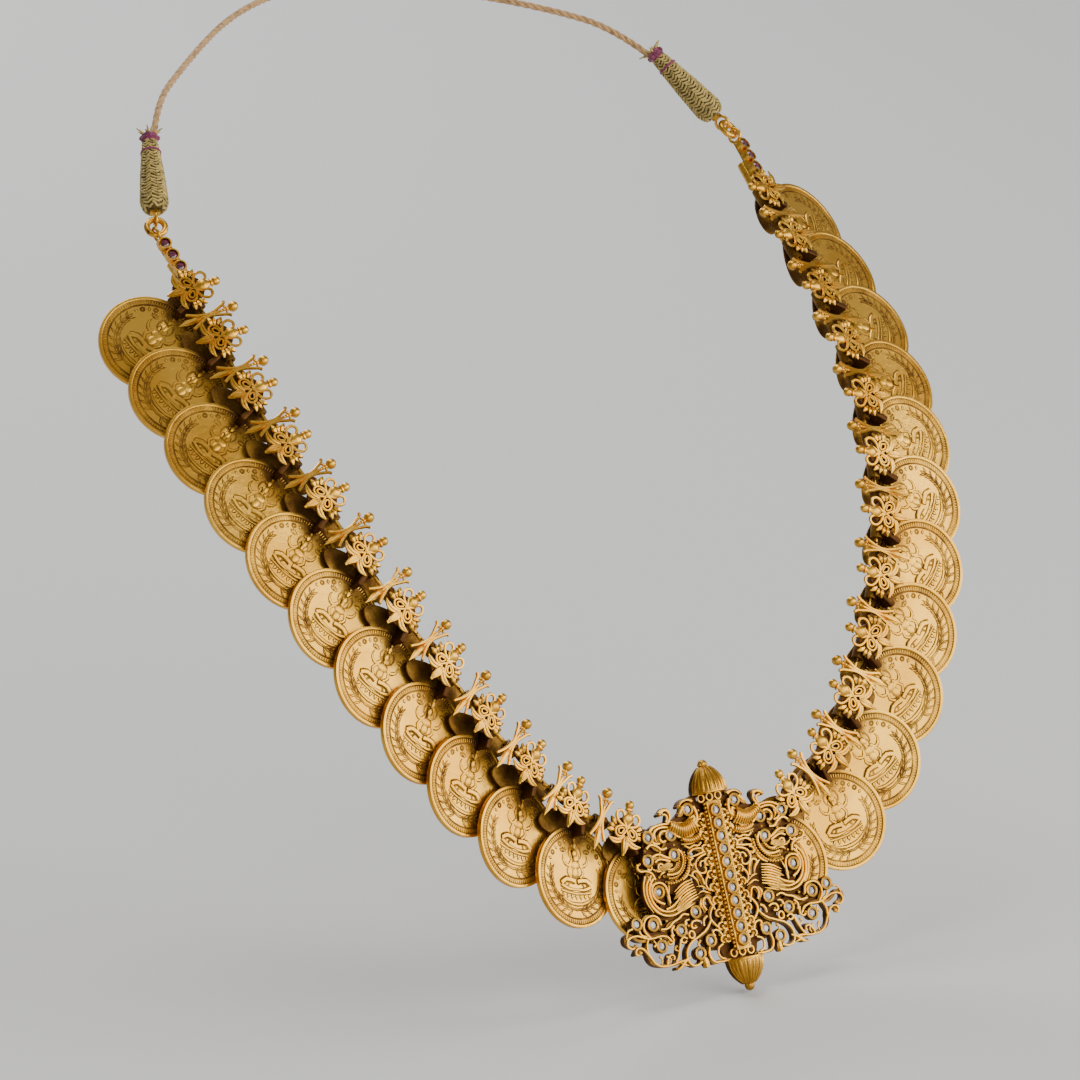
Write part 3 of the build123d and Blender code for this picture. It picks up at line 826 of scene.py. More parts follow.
@dataclass(frozen=True)
class Medal:
    """Coin with a toothed border, a seated figure between leaf sprays and a crescent below."""

    radius: float = 10.0
    thickness: float = 0.8
    rim_width: float = 0.6
    rim_height: float = 0.22
    rim_slope: float = 0.14
    soft_edge: float = 0.07
    ground_rings: int = 5
    ground_step: float = 1.6
    flower_foot: float = 9.8
    # Painted shade on the ground below the flower: where it starts, how far it fades and its darkest level
    flower_cover: float = 1.2
    flower_shade: float = 5.5
    shaded_wear: float = 0.16
    open_wear: float = 0.62
    groove: float = 0.05
    teeth: int = 104
    tooth: Triple = (0.75, 0.26, 0.2)
    tooth_top: Triple = (0.8, 0.45, 1)
    tooth_ring: float = 8.85
    line_ring: float = 8.25
    line_wire: float = 0.08
    text_ring: float = 7.35
    text_pitch: float = 10.5
    spray_ring: float = 5.9
    figure_grow: float = 1.1
    head: Triple = (0.68, 0.88, 0.30)
    head_up: float = 4.25
    body_depth: float = 0.24
    flatten: float = 0.6
    sunk: float = 0.02
    proud: float = 0.14
    # Flat rings beside the relief, painted with patina and shade: their width and level
    crevice: float = 0.13
    crevice_patina_and_shade: float = 0.34

    def disc(self) -> bpy.types.Object:
        """Flat disc with a raised rim and finely divided ground.

        Returns:
            The disc, with its wear and painted shade written.
        """
        made = Bench.primitive(
            "medal_disc", bpy.ops.mesh.primitive_cylinder_add, vertices=96, radius=self.radius,
            depth=self.thickness)
        with Bench.editing():
            Bench.select_faces(made, self.thickness / 2)
            bpy.ops.transform.translate(value=(0, 0, self.rim_height))
            bpy.ops.mesh.inset(thickness=self.rim_width, depth=0)
            bpy.ops.mesh.inset(thickness=self.rim_slope, depth=-self.rim_height)
            for _ in range(self.ground_rings):
                bpy.ops.mesh.inset(thickness=self.ground_step, depth=0)
            bpy.ops.mesh.poke()
        Bench.soften(made, self.soft_edge)
        return Bench.write(made, [self.ground_wear_and_shade(v.co) for v in made.data.vertices])

    def ground_wear_and_shade(self, place: Vector) -> float:
        """Wear of the bare ground, with painted shade below the flower, which stands in front of it, and half
        the wear in the band of the teeth.

        Args:
            place: On the coin, in millimetres.

        Returns:
            The wear and painted shade, from 0 to 1.
        """
        to_flower = math.hypot(place.x, place.y - self.flower_foot)
        clear = min(1.0, max(0.0, (to_flower - self.flower_cover) / self.flower_shade))
        # Painted shade: darker near the flower's foot, where the flower stands in front of the ground
        bare = self.shaded_wear + self.open_wear * clear
        rim = self.radius - self.rim_width - self.groove
        return 0.5 * bare if self.line_ring < math.hypot(place.x, place.y) < rim else bare

    def teeth_ring(self) -> bpy.types.Object:
        """Radial teeth inside the rim.

        Returns:
            The teeth as one mesh.
        """
        tooth = Bench.primitive("tooth", bpy.ops.mesh.primitive_cube_add, size=1, scale=self.tooth)
        with Bench.editing():
            Bench.select_faces(tooth, self.tooth[2] / 2)
            bpy.ops.transform.resize(value=self.tooth_top)
        out = Matrix.Translation((self.tooth_ring, 0, self.thickness / 2))
        turns = [Matrix.Rotation(math.tau * k / self.teeth, 4, "Z") @ out for k in range(self.teeth)]
        return Bench.stamp("medal_teeth", tooth, turns)

    def border(self) -> list[Stroke]:
        """Thin line inside the teeth, with petals and small rings in turn along its upper arc.

        Returns:
            The strokes.
        """
        strokes = [Stroke(tuple(circle(self.line_ring, 24)), self.line_wire, closed=True)]
        petal = Stroke(((0, -0.5), (0, 0), (0, 0.5)), 0.28, Taper.LEAF)
        for place in range(-6, 7):
            turn = place * self.text_pitch
            a = math.radians(90 + turn)
            middle = (self.text_ring * math.cos(a), self.text_ring * math.sin(a))
            if place % 2:
                strokes.append(ring_stroke(*middle, 0.36, 0.11))
            else:
                strokes.append(petal.moved(*middle, turn=turn))
        return strokes

    def figure(self) -> list[Stroke]:
        """Seated figure with raised lotuses.

        Returns:
            The strokes.
        """
        half = [
            Stroke(((0.9, 2.9), (1.7, 2.0), (2.5, 2.4)), 0.36),
            Stroke(((2.5, 2.3), (2.9, 3.2), (2.8, 4.0)), 0.27, Taper.HORN),
            Stroke(((1.0, 2.3), (1.8, 0.9), (1.1, -0.1)), 0.30),
            Stroke(((0.3, -0.8), (2.4, -0.5), (3.6, -1.3)), 0.62),
            Stroke(((3.6, -1.5), (1.8, -2.2), (-0.6, -2.2)), 0.46, Taper.HORN),
            Stroke(((0.7, -0.7), (1.6, -1.2), (2.0, -2.0)), 0.12),
            Stroke(((1.5, -0.5), (2.4, -1.0), (2.9, -1.8)), 0.12),
            Stroke(((0.5, 5.3), (0.75, 5.7), (0.6, 6.1)), 0.2, Taper.HORN),
            Stroke(((0.75, 4.2), (1.0, 3.6), (0.9, 3.2)), 0.14, Taper.KNOB),
            Stroke(((0.15, 4.45), (0.3, 4.5), (0.45, 4.43)), 0.06),
            Stroke(((0, 2.55), (0.45, 2.7), (0.85, 3.1)), 0.1),
            Stroke(((0, 2.1), (0.55, 2.35), (0.95, 2.8)), 0.08),
            Stroke(((0, -0.15), (0.5, -0.05), (0.95, 0.15)), 0.13),
        ]
        petal = Stroke(((0, 0), (0, 0.55), (0, 1.15)), 0.2, Taper.LEAF)
        half += [petal.moved(2.8, 4.2, turn=turn) for turn in (-50, -25, 0, 25, 50)]
        middle = [
            ring_stroke(0, 4.3, 1.5, 0.13),
            Stroke(((0, 5.1), (0, 5.7), (0, 6.4)), 0.5, Taper.BUD),
            Stroke(((0, 4.45), (0, 4.25), (0, 4.12)), 0.08, Taper.KNOB),
            Stroke(((-0.17, 3.88), (0, 3.84), (0.17, 3.88)), 0.06),
            Stroke(((0, 3.6), (0, 3.2), (0, 2.9)), 0.34),
        ]
        return both_sides(half) + middle

    def base(self) -> list[Stroke]:
        """Lotus seat, crescent and crossing leaf sprays.

        Returns:
            The strokes.
        """
        strokes = [
            Stroke(((-3.7, -2.5), (0, -3.0), (3.7, -2.5)), 0.22),
            Stroke(((-4.4, -2.9), (-2.4, -4.4), (0, -4.9), (2.4, -4.4), (4.4, -2.9)), 0.34, Taper.LEAF),
            Stroke(((-3.2, -4.8), (0, -5.9), (3.2, -4.8)), 0.18, Taper.LEAF),
        ]
        petal = Stroke(((0, 0), (0, -0.5), (0, -1.15)), 0.36, Taper.LEAF)
        for place in range(-3, 4):
            strokes.append(petal.moved(place * 0.95, -3.0 + 0.03 * place * place, turn=place * 9))
        half = []
        reach = self.spray_ring
        for step in range(8):
            turn = -82 + 12.5 * step
            a = math.radians(turn)
            length = 2.5 - 0.09 * step
            blade = Stroke(((0, 0), (0.08, length / 2), (0, length)), 0.2, Taper.LEAF)
            for lean in (-46, -6, 26):
                half.append(blade.moved(
                    reach * math.cos(a), reach * math.sin(a), turn=turn + lean, grow=0.9))
        stem = [math.radians(-95 + 18 * step) for step in range(7)]
        points = tuple((reach * math.cos(a), reach * math.sin(a)) for a in stem)
        half.append(Stroke(points, 0.13, Taper.HORN))
        return strokes + both_sides(half)

    def body(self) -> bpy.types.Object:
        """Rounded chest and belly of the figure, flat at the back.

        Returns:
            The body as one mesh.
        """
        sphere = bpy.ops.mesh.primitive_uv_sphere_add
        trunk = Bench.primitive("medal_trunk", sphere, segments=16, ring_count=10, radius=1)
        with Bench.editing():
            bpy.ops.mesh.bisect(plane_co=(0, 0, -0.2), plane_no=(0, 0, 1), clear_inner=True, use_fill=True)
        masses = [
            (0, 2.15, 1.25, 0.85), (0, 0.85, 0.8, 1.0), (-0.5, 2.2, 0.55, 0.5), (0.5, 2.2, 0.55, 0.5)]
        grow = Matrix.Diagonal((self.figure_grow, self.figure_grow, 1, 1))
        places = []
        for x, y, width, height in masses:
            size = Matrix.Diagonal((width, height, self.body_depth, 1))
            places.append(grow @ Matrix.Translation((x, y, self.thickness / 2)) @ size)
        return Bench.stamp("medal_body", trunk, places)

    def model(self) -> bpy.types.Object:
        """The whole coin about its middle.

        Returns:
            The coin.
        """
        face = self.thickness / 2
        grow = self.figure_grow
        strokes = self.border()
        strokes += [stroke.moved(0, 0, grow=grow) for stroke in self.figure() + self.base()]
        relief = Bench.wires(
            "medal_relief", strokes, steps=2, flatten=self.flatten, level=face - self.sunk)
        # Flat dark rings beside every stroke: patina and painted shade round the relief
        wide = [replace(stroke, radius=stroke.radius + self.crevice) for stroke in strokes]
        relief_shade_rings = Bench.wires("medal_relief_shade_rings", wide, 2, 0, flatten=0.03, level=face + 0.004)
        Bench.paint(relief_shade_rings, self.crevice_patina_and_shade)
        head = Bench.primitive(
            "medal_head", bpy.ops.mesh.primitive_uv_sphere_add, segments=16, ring_count=10, radius=1,
            scale=self.head, location=(0, self.head_up * grow, face))
        body, teeth = self.body(), self.teeth_ring()
        for each in (relief, head, body, teeth):
            Bench.wear(each, face - self.sunk, face + self.proud)
        return Bench.join("medal", self.disc(), relief, relief_shade_rings, head, body, teeth)


@dataclass(frozen=True)
class Flower:
    """Open flower of curled wires with a finial, soldered over a coin's edge. Its middle is the origin."""

    wire: float = 0.28
    ball: float = 0.8
    ball_up: float = 3.7
    finial_depth: float = 0.65
    plate_depth: float = 0.5

    def teardrop(self, size: float, wire: float) -> Stroke:
        """Closed teardrop of wire from the origin downwards, size millimetres long."""
        points = ((0, 0.05), (0.28, -0.35), (0.33, -0.72), (0, -1.0), (-0.33, -0.72), (-0.28, -0.35))
        return Stroke(tuple((x * size, y * size) for x, y in points), wire, closed=True)

    def strokes(self) -> list[Stroke]:
        """Scrolls, loops, leaves and bud.

        Returns:
            The strokes.
        """
        half = [
            Stroke(((0, -0.3), (0.95, -0.05), (1.9, 0.4), (2.4, 1.25), (2.15, 2.1), (1.45, 2.35), (0.9, 1.8),
                    (0.8, 0.95), (0.35, 0.15), (-0.3, -0.55)), self.wire),
            self.teardrop(2.5, 0.22).moved(0.2, -0.35, 0.08, turn=48),
            self.teardrop(1.25, 0.17).moved(0.66, -0.76, 0.12, turn=48),
            Stroke(((0.2, -1.9), (1.2, -2.75), (2.3, -3.0), (3.4, -2.9)), 0.36, Taper.BUD),
            Stroke(((0.15, -2.3), (1.1, -3.2), (2.2, -3.45), (3.3, -3.0)), 0.3, Taper.BUD).moved(0, 0, -0.1),
            Stroke(((2.2, -0.3), (2.8, 0.25), (3.3, 0.85)), 0.58, Taper.BUD).moved(0, 0, -0.25),
            Stroke(((2.3, -0.8), (3.0, -0.65), (3.7, -0.45)), 0.52, Taper.BUD).moved(0, 0, -0.3),
            Stroke(((2.3, -1.4), (3.1, -1.45), (3.9, -1.6)), 0.6, Taper.BUD).moved(0, 0, -0.25),
            Stroke(((0.3, -2.3), (0.44, -3.4), (0.12, -5.0)), 0.2, Taper.BUD).moved(0, 0, 0.42),
        ]
        middle = [
            Stroke(((0, -2.1), (0, -3.2), (0, -4.3), (0, -5.4)), 0.68, Taper.BUD),
            Stroke(((0, -2.2), (0, -3.4), (0, -5.1)), 0.18, Taper.BUD).moved(0, 0, 0.55),
        ]
        return both_sides(half) + middle

    def finial(self) -> bpy.types.Object:
        """Bell, neck and collar below the ball.

        Returns:
            The finial, a little flattened.
        """
        profile = [
            (0.3, 0.2), (0.75, 0.6), (1.12, 1.15), (1.08, 1.6), (0.72, 2.1), (0.46, 2.45),
            (0.42, 2.58), (0.78, 2.68), (0.78, 2.94), (0.42, 3.0), (0.42, 3.2),
        ]
        made = Bench.lathe("finial", profile, 16)
        made.data.transform(Matrix.Diagonal((1, 1, self.finial_depth, 1)))
        return made

    def shade_backing(self) -> bpy.types.Object:
        """Plate behind the wires, painted dark as the shade between them.

        Returns:
            The plate.
        """
        lobes = [(0, -0.4, 2.2, 1.9), (2.1, -1.2, 1.7, 0.8), (-2.1, -1.2, 1.7, 0.8), (0, -2.9, 2.0, 1.2)]
        cylinder = bpy.ops.mesh.primitive_cylinder_add
        model = Bench.primitive("lobe", cylinder, vertices=24, radius=1, depth=self.plate_depth)
        places = []
        for x, y, width, height in lobes:
            places.append(Matrix.Translation((x, y, -0.5)) @ Matrix.Diagonal((width, height, 1, 1)))
        return Bench.stamp("flower_shade_backing", model, places)

    def model(self) -> bpy.types.Object:
        """The whole flower.

        Returns:
            The flower.
        """
        wires = Bench.wear(Bench.wires("flower_wires", self.strokes(), steps=4), -0.35, 0.22)
        balls = Bench.wear(Bench.balls("flower_balls", [(0, self.ball_up, 0, self.ball)], 3), -0.9, 0.3)
        finial = Bench.wear(self.finial(), -0.7, 0.15)
        # Painted shade: the plate behind the wires is painted nearly all dark
        shade_backing = Bench.paint(self.shade_backing(), 0.05)
        return Bench.join("flower", wires, balls, finial, shade_backing)


class Facets:
    """Triangles of a CAD mesh, in metres."""

    def __init__(self, corners: np.ndarray) -> None:
        """Measure triangles.

        Args:
            corners: Three places for each triangle.
        """
        cross = np.cross(corners[:, 1] - corners[:, 0], corners[:, 2] - corners[:, 0])
        self.corners = corners
        self.areas = np.linalg.norm(cross, axis=1) / 2
        self.normals = cross / np.maximum(2 * self.areas[:, None], 1e-20)

    @classmethod
    def of(cls, node: bpy.types.Object) -> "Facets":
        """Measure a node's triangles.

        Args:
            node: The CAD node.

        Returns:
            The triangles.
        """
        mesh = node.data
        mesh.calc_loop_triangles()
        points = np.array([v.co for v in mesh.vertices], float)
        return cls(points[np.array([t.vertices for t in mesh.loop_triangles])])

    def largest(self, keys: np.ndarray, among: np.ndarray) -> np.ndarray:
        """Find the flat face with the largest area.

        Args:
            keys: Numbers that round to the same for the triangles of one flat face.
            among: Mask of the triangles that are looked at.

        Returns:
            Mask of its triangles.
        """
        _, groups = np.unique(np.round(keys[among]).astype(int), axis=0, return_inverse=True)
        groups = groups.ravel()
        found = among.copy()
        found[among] = groups == np.bincount(groups, weights=self.areas[among]).argmax()
        return found

    def direction(self, chosen: np.ndarray) -> np.ndarray:
        """Mean normal of some triangles."""
        mean = (self.normals[chosen] * self.areas[chosen, None]).sum(axis=0)
        return mean / np.linalg.norm(mean)


@dataclass(frozen=True)
class Hang:
    """How a coin link is shaped by where it hangs, here between two others.

    Args:
        lean: Degrees that the strand runs down from the coin's X axis.
        tilt: Degrees that the strand rises to the front.
        solid_turn: Degrees that the flower of the CAD solid is turned.
        flower_turn: Degrees that the flower is turned here.
        flower_pivot: Height over the flower's middle that it is turned about.
        flower_shift: Move of the flower, out and up.
        stem_width: Width of the bar behind the flower.
        web_width: Width of the plate behind the coin's edge.
        web_shift: Move of that plate, out and up.
    """

    lean: float = 22.0
    tilt: float = 7.0
    solid_turn: float = 0.0
    flower_turn: float = 24.0
    flower_pivot: float = 3.0
    flower_shift: Pair = (1.0, 0.4)
    stem_width: float = 1.2
    web_width: float = 15.4
    web_shift: Pair = (-0.8, 0.2)


HANGS = {
    Spot.FIRST: Hang(flower_shift=(0.0, 0.0), web_width=10.472, web_shift=(1.2, 0.0)),
    Spot.MIDDLE: Hang(),
    Spot.LAST: Hang(
        lean=38.0, tilt=4.0, solid_turn=41.0, flower_turn=41.0, flower_pivot=0.0,
        flower_shift=(0.0, 0.0), stem_width=1.0, web_width=10.472, web_shift=(0.0, 0.0)),
}


@dataclass
class CoinLinks:
    """All coin links: a coin, a flower over its edge, a stem and a tube for the carrying wire."""

    dresser: Dresser
    nodes: dict[str, bpy.types.Object]
    count: int = 12
    flower_up: float = 13.9
    flower_out: float = 3.8
    flower_grow: float = 1.15
    tip_reach: float = 0.45
    sliver: float = 1e-12
    normal_steps: float = 200.0
    offset_steps: float = 2e4
    stem_foot: float = 7.8
    stem_depth: Pair = (0.2, 3.4)
    stem_edge: float = 0.3
    stem_painted_shade: float = 0.14
    web_foot: float = 7.4
    web_over: float = 0.45
    web_thickness: float = 0.3
    web_level: float = -0.25
    # Painted shade on the tubes and plates behind the coins
    hidden_painted_shade: float = 0.33
    tube_up: float = 13.15
    tube_out: float = 1.6
    tube_length: float = 4.6
    tube_radius: float = 1.2
    bore_radius: float = 0.7
    bore_depth: float = 0.8

    def tube(self, lean: float, tilt: float, side: Side) -> bpy.types.Object:
        """Short open tube along the strand.

        Args:
            lean: Degrees that the strand runs down from the coin's X axis.
            tilt: Degrees that it rises to the front.
            side: Half of the necklace.

        Returns:
            The tube.
        """
        a, t = math.radians(lean), math.radians(tilt)
        out = -side.value * math.cos(t) * math.cos(a)
        along = Vector((out, -math.cos(t) * math.sin(a), math.sin(t)))
        made = Bench.primitive(
            "link_tube", bpy.ops.mesh.primitive_cylinder_add, vertices=24, radius=self.tube_radius,
            depth=self.tube_length)
        with Bench.editing():
            shape = bmesh.from_edit_mesh(made.data)
            for face in shape.faces:
                face.select_set(abs(face.normal.z) > 0.9)
            bmesh.update_edit_mesh(made.data)
            bpy.ops.mesh.inset(thickness=self.tube_radius - self.bore_radius, depth=0)
            bpy.ops.mesh.extrude_faces_move(TRANSFORM_OT_shrink_fatten={"value": -self.bore_depth})
        turn = Vector((0, 0, 1)).rotation_difference(along).to_matrix().to_4x4()
        made.data.transform(Matrix.Translation((0, self.tube_up, self.tube_out)) @ turn)
        # Painted shade: the tube, behind the flower, is painted dark
        return Bench.paint(made, self.hidden_painted_shade)

    def stem(self, width: float) -> bpy.types.Object:
        """Bar from the coin's face up to the flower's back.

        Args:
            width: Across the bar, in millimetres.

        Returns:
            The bar.
        """
        foot, top = self.stem_foot, self.tube_up - self.bore_radius
        low, high = self.stem_depth
        made = Bench.primitive(
            "link_stem", bpy.ops.mesh.primitive_cube_add, size=1, scale=(width, top - foot, high - low),
            location=(0, (top + foot) / 2, (low + high) / 2))
        Bench.soften(made, self.stem_edge)
        # Painted shade: the bar behind the flower is painted dark
        return Bench.paint(made, self.stem_painted_shade)

    def web(self, side: Side, hang: Hang) -> bpy.types.Object:
        """Thin rough plate between the coin's edge and the tube.

        Args:
            side: Half of the necklace.
            hang: The link's shape where it hangs.

        Returns:
            The plate.
        """
        foot, top = self.web_foot, self.tube_up + self.web_over
        out, up = hang.web_shift
        made = Bench.primitive(
            "link_web", bpy.ops.mesh.primitive_cylinder_add, vertices=36, radius=1,
            depth=self.web_thickness)
        with Bench.editing():
            Bench.select_faces(made, self.web_thickness / 2)
            bpy.ops.mesh.inset(thickness=0.1, depth=0.1)
            bpy.ops.mesh.inset(thickness=0.3, depth=0.0)
        size = Matrix.Diagonal((hang.web_width / 2, (top - foot) / 2, 1, 1))
        middle = Matrix.Translation((-side.value * out, (foot + top) / 2 + up, self.web_level))
        made.data.transform(middle @ size)
        # Painted shade: the plate behind the coin's edge is painted dark
        return Bench.paint(made, self.hidden_painted_shade)

    def model(self, medal: bpy.types.Object, flower: bpy.types.Object, side: Side,
              hang: Hang) -> bpy.types.Object:
        """Join a coin, its flower, plate, stem and tube.

        Args:
            medal: The coin's model.
            flower: The flower's model.
            side: Half of the necklace.
            hang: The link's shape where it hangs.

        Returns:
            The model of a link.
        """
        turn = Matrix.Rotation(math.radians(side.value * hang.flower_turn), 4, "Z")
        pivot = Vector((0, hang.flower_pivot, 0))
        out, up = hang.flower_shift
        middle = Vector((side.value * out, self.flower_up + up, self.flower_out)) + pivot
        grow = Matrix.Diagonal((self.flower_grow, self.flower_grow, 1, 1))
        place = Matrix.Translation(middle) @ turn @ Matrix.Translation(-pivot) @ grow
        parts = [
            Bench.copy(medal, "medal_copy"),
            Bench.copy(flower, "flower_copy", place),
            self.web(side, hang),
            self.stem(hang.stem_width),
            self.tube(hang.lean, hang.tilt, side),
        ]
        return Bench.join("coin_link_model", *parts)

    def frame(self, node: bpy.types.Object, thickness: float, turn: float) -> Matrix:
        """Frame of a link, read from the coin's back and from the ball, the part furthest out.

        Args:
            node: The CAD node.
            thickness: Of the coin, in millimetres.
            turn: Degrees that the solid's flower is turned.

        Returns:
            From millimetres in the coin's own axes to metres.
        """
        facets = Facets.of(node)
        middles = facets.corners.mean(axis=1)
        offsets = (facets.normals * middles).sum(axis=1)
        keys = np.column_stack([facets.normals * self.normal_steps, offsets * self.offset_steps])
        back = facets.largest(keys, facets.areas > self.sliver)
        normal = Vector(-facets.direction(back))
        weights = facets.areas[back, None]
        centre = Vector((middles[back] * weights).sum(axis=0) / weights.sum())
        middle = centre + normal * (thickness / 2 * MM)
        across = np.array([v.co for v in node.data.vertices], float) - np.array(middle)
        across = across - np.outer(across @ np.array(normal), np.array(normal))
        distance = np.linalg.norm(across, axis=1)
        tip = Vector(across[distance > distance.max() - self.tip_reach * MM].mean(axis=0)).normalized()
        a, reach = math.radians(turn), Flower().ball_up
        aside = math.atan2(-math.sin(a) * reach, self.flower_up + math.cos(a) * reach)
        up = (Matrix.Rotation(aside, 3, normal) @ tip).normalized()
        return place_of(middle, up.cross(normal), up, normal)

    def build(self) -> dict[Side, list[Matrix]]:
        """Dress every coin link.

        Returns:
            Frames of the links of each half, from the clasp to the pendant.
        """
        medal, flower = Medal().model(), Flower().model()
        frames: dict[Side, list[Matrix]] = {side: [] for side in Side}
        for side in Side:
            models = {spot: self.model(medal, flower, side, hang) for spot, hang in HANGS.items()}
            for number in range(1, self.count + 1):
                spot = {1: Spot.FIRST, self.count: Spot.LAST}.get(number, Spot.MIDDLE)
                node = f"coin_link_{side.label}_{number:02d}"
                turn = side.value * HANGS[spot].solid_turn
                frame = self.frame(self.nodes[node], Medal().thickness, turn)
                piece = Bench.copy(models[spot], f"coin_and_flower_{side.label}_{number:02d}", frame)
                self.dresser.dress(piece, self.dresser.gold)
                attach(piece, "root")
                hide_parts(node)
                frames[side].append(frame)
            for model in models.values():
                bpy.data.objects.remove(model)
        for model in (medal, flower):
            bpy.data.objects.remove(model)
        return frames


@dataclass
class Spacers:
    """Spacers: a ball on beads, two curved wires and a spear blade, over the tube that is their origin."""

    dresser: Dresser
    nodes: dict[str, bpy.types.Object]
    ball: float = 1.075
    ball_up: float = 5.5
    front: float = 2.2
    wire: float = 0.35
    tube_length: float = 3.0
    turn: float = 20.0
    pivot: float = 3.0
    normal_steps: float = 120.0
    alike: float = 0.85
    square: float = 0.03

    def model(self, links: CoinLinks, side: Side) -> bpy.types.Object:
        """Model one spacer.

        Args:
            links: The coin links, whose tube and lean it shares.
            side: Half of the necklace.

        Returns:
            The spacer.
        """
        half = [
            Stroke(((1.75, 4.35), (1.35, 3.95), (0.85, 2.7), (0.34, 1.0), (0.32, -0.2), (0.75, -2.0),
                    (1.75, -4.2)), self.wire),
            Stroke(((1.5, 4.1), (1.1, 3.75), (0.5, 3.8)), 0.18),
            Stroke(((0.5, -3.2), (0.45, -4.6), (0.05, -6.4)), 0.2, Taper.LEAF).moved(0, 0, 0.1),
        ]
        middle = [
            Stroke(((0, -1.0), (0, -2.8), (0, -4.4), (0, -6.7)), 0.72, Taper.LEAF),
            Stroke(((0, 4.4), (0, 3.0), (0, 0.5), (0, -2.0)), 0.3),
            Stroke(((0, -0.2), (0, -2.0), (0, -3.4)), 0.42).moved(0, 0, -0.6),
        ]
        wires = Bench.wires("spacer_wires", both_sides(half) + middle, steps=4)
        Bench.wear(wires, -0.45, 0.2)
        grains = [
            (0, self.ball_up, 0, self.ball), (0, 4.15, 0, 0.46), (0, 3.45, 0.1, 0.38),
            (0, 2.85, 0.1, 0.32), (-0.55, 3.9, 0.1, 0.3), (0.55, 3.9, 0.1, 0.3)]
        balls = Bench.wear(Bench.balls("spacer_balls", grains, 2), -1.0, 0.2)
        about = Matrix.Translation((0, self.pivot, 0))
        turn = about @ Matrix.Rotation(math.radians(side.value * self.turn), 4, "Z") @ about.inverted()
        for each in (wires, balls):
            each.data.transform(turn)
        own = replace(links, tube_up=0.0, tube_out=-self.front, tube_length=self.tube_length)
        # Painted shade: the spacer's tube and foot, behind its wires, are painted dark
        tube = own.tube(HANGS[Spot.MIDDLE].lean, 0.0, side)
        foot = Bench.wires("spacer_foot", [Stroke(((0, 0, -self.front + 0.7), (0, 0, 0)), 0.6)])
        return Bench.join("spacer_model", wires, balls, tube, Bench.paint(foot, 0.2))

    def frame(self, corners: np.ndarray, guess: np.ndarray) -> Matrix:
        """Frame of a spacer, read from the flat faces of its spine and from its ball.

        Args:
            corners: Its triangles' corners in metres.
            guess: Axes in columns, from the coins on either side.

        Returns:
            From millimetres about the middle of its front wires, level with the tube, to metres.
        """
        facets = Facets(corners)
        normals, keys = facets.normals, facets.normals * self.normal_steps
        facing = -facets.direction(facets.largest(keys, normals @ -guess[:, 2] > self.alike))
        flank = (normals @ guess[:, 0] > self.alike) & (np.abs(normals @ facing) < self.square)
        across = facets.direction(facets.largest(keys, flank))
        up = np.cross(facing, across)
        axes = np.column_stack([across, up, facing])
        places = corners.reshape(-1, 3) @ axes
        cap = places[places[:, 1] > places[:, 1].max() - self.ball * MM]
        low, high = cap.min(axis=0), cap.max(axis=0)
        level = high[1] - (self.ball + self.ball_up) * MM
        origin = axes @ np.array([(low[0] + high[0]) / 2, level, (low[2] + high[2]) / 2])
        return place_of(Vector(origin), Vector(across), Vector(up), Vector(facing))

    def build(self, links: CoinLinks, frames: dict[Side, list[Matrix]]) -> int:
        """Dress all spacers.

        Args:
            links: The coin links.
            frames: Frames of the links of each half.

        Returns:
            Number of pieces made.
        """
        made = 0
        for side in Side:
            node = self.nodes[f"spacers_{side.label}"]
            corners = Facets.of(node).corners
            tubes = [frame @ Vector((0, links.tube_up, links.tube_out)) for frame in frames[side]]
            middles = np.array([(a + b) / 2 for a, b in zip(tubes, tubes[1:])])
            away = np.linalg.norm(corners.mean(axis=1)[:, None] - middles[None], axis=2)
            nearest = away.argmin(axis=1)
            model = self.model(links, side)
            for number, frame in enumerate(frames[side][:-1]):
                guess = np.array(frame.to_3x3().normalized())
                place = self.frame(corners[nearest == number], guess)
                piece = Bench.copy(model, f"spacer_{side.label}_{number + 1:02d}", place)
                self.dresser.dress(piece, self.dresser.gold)
                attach(piece, "root")
                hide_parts(node.name)
                made += 1
            bpy.data.objects.remove(model)
        return made


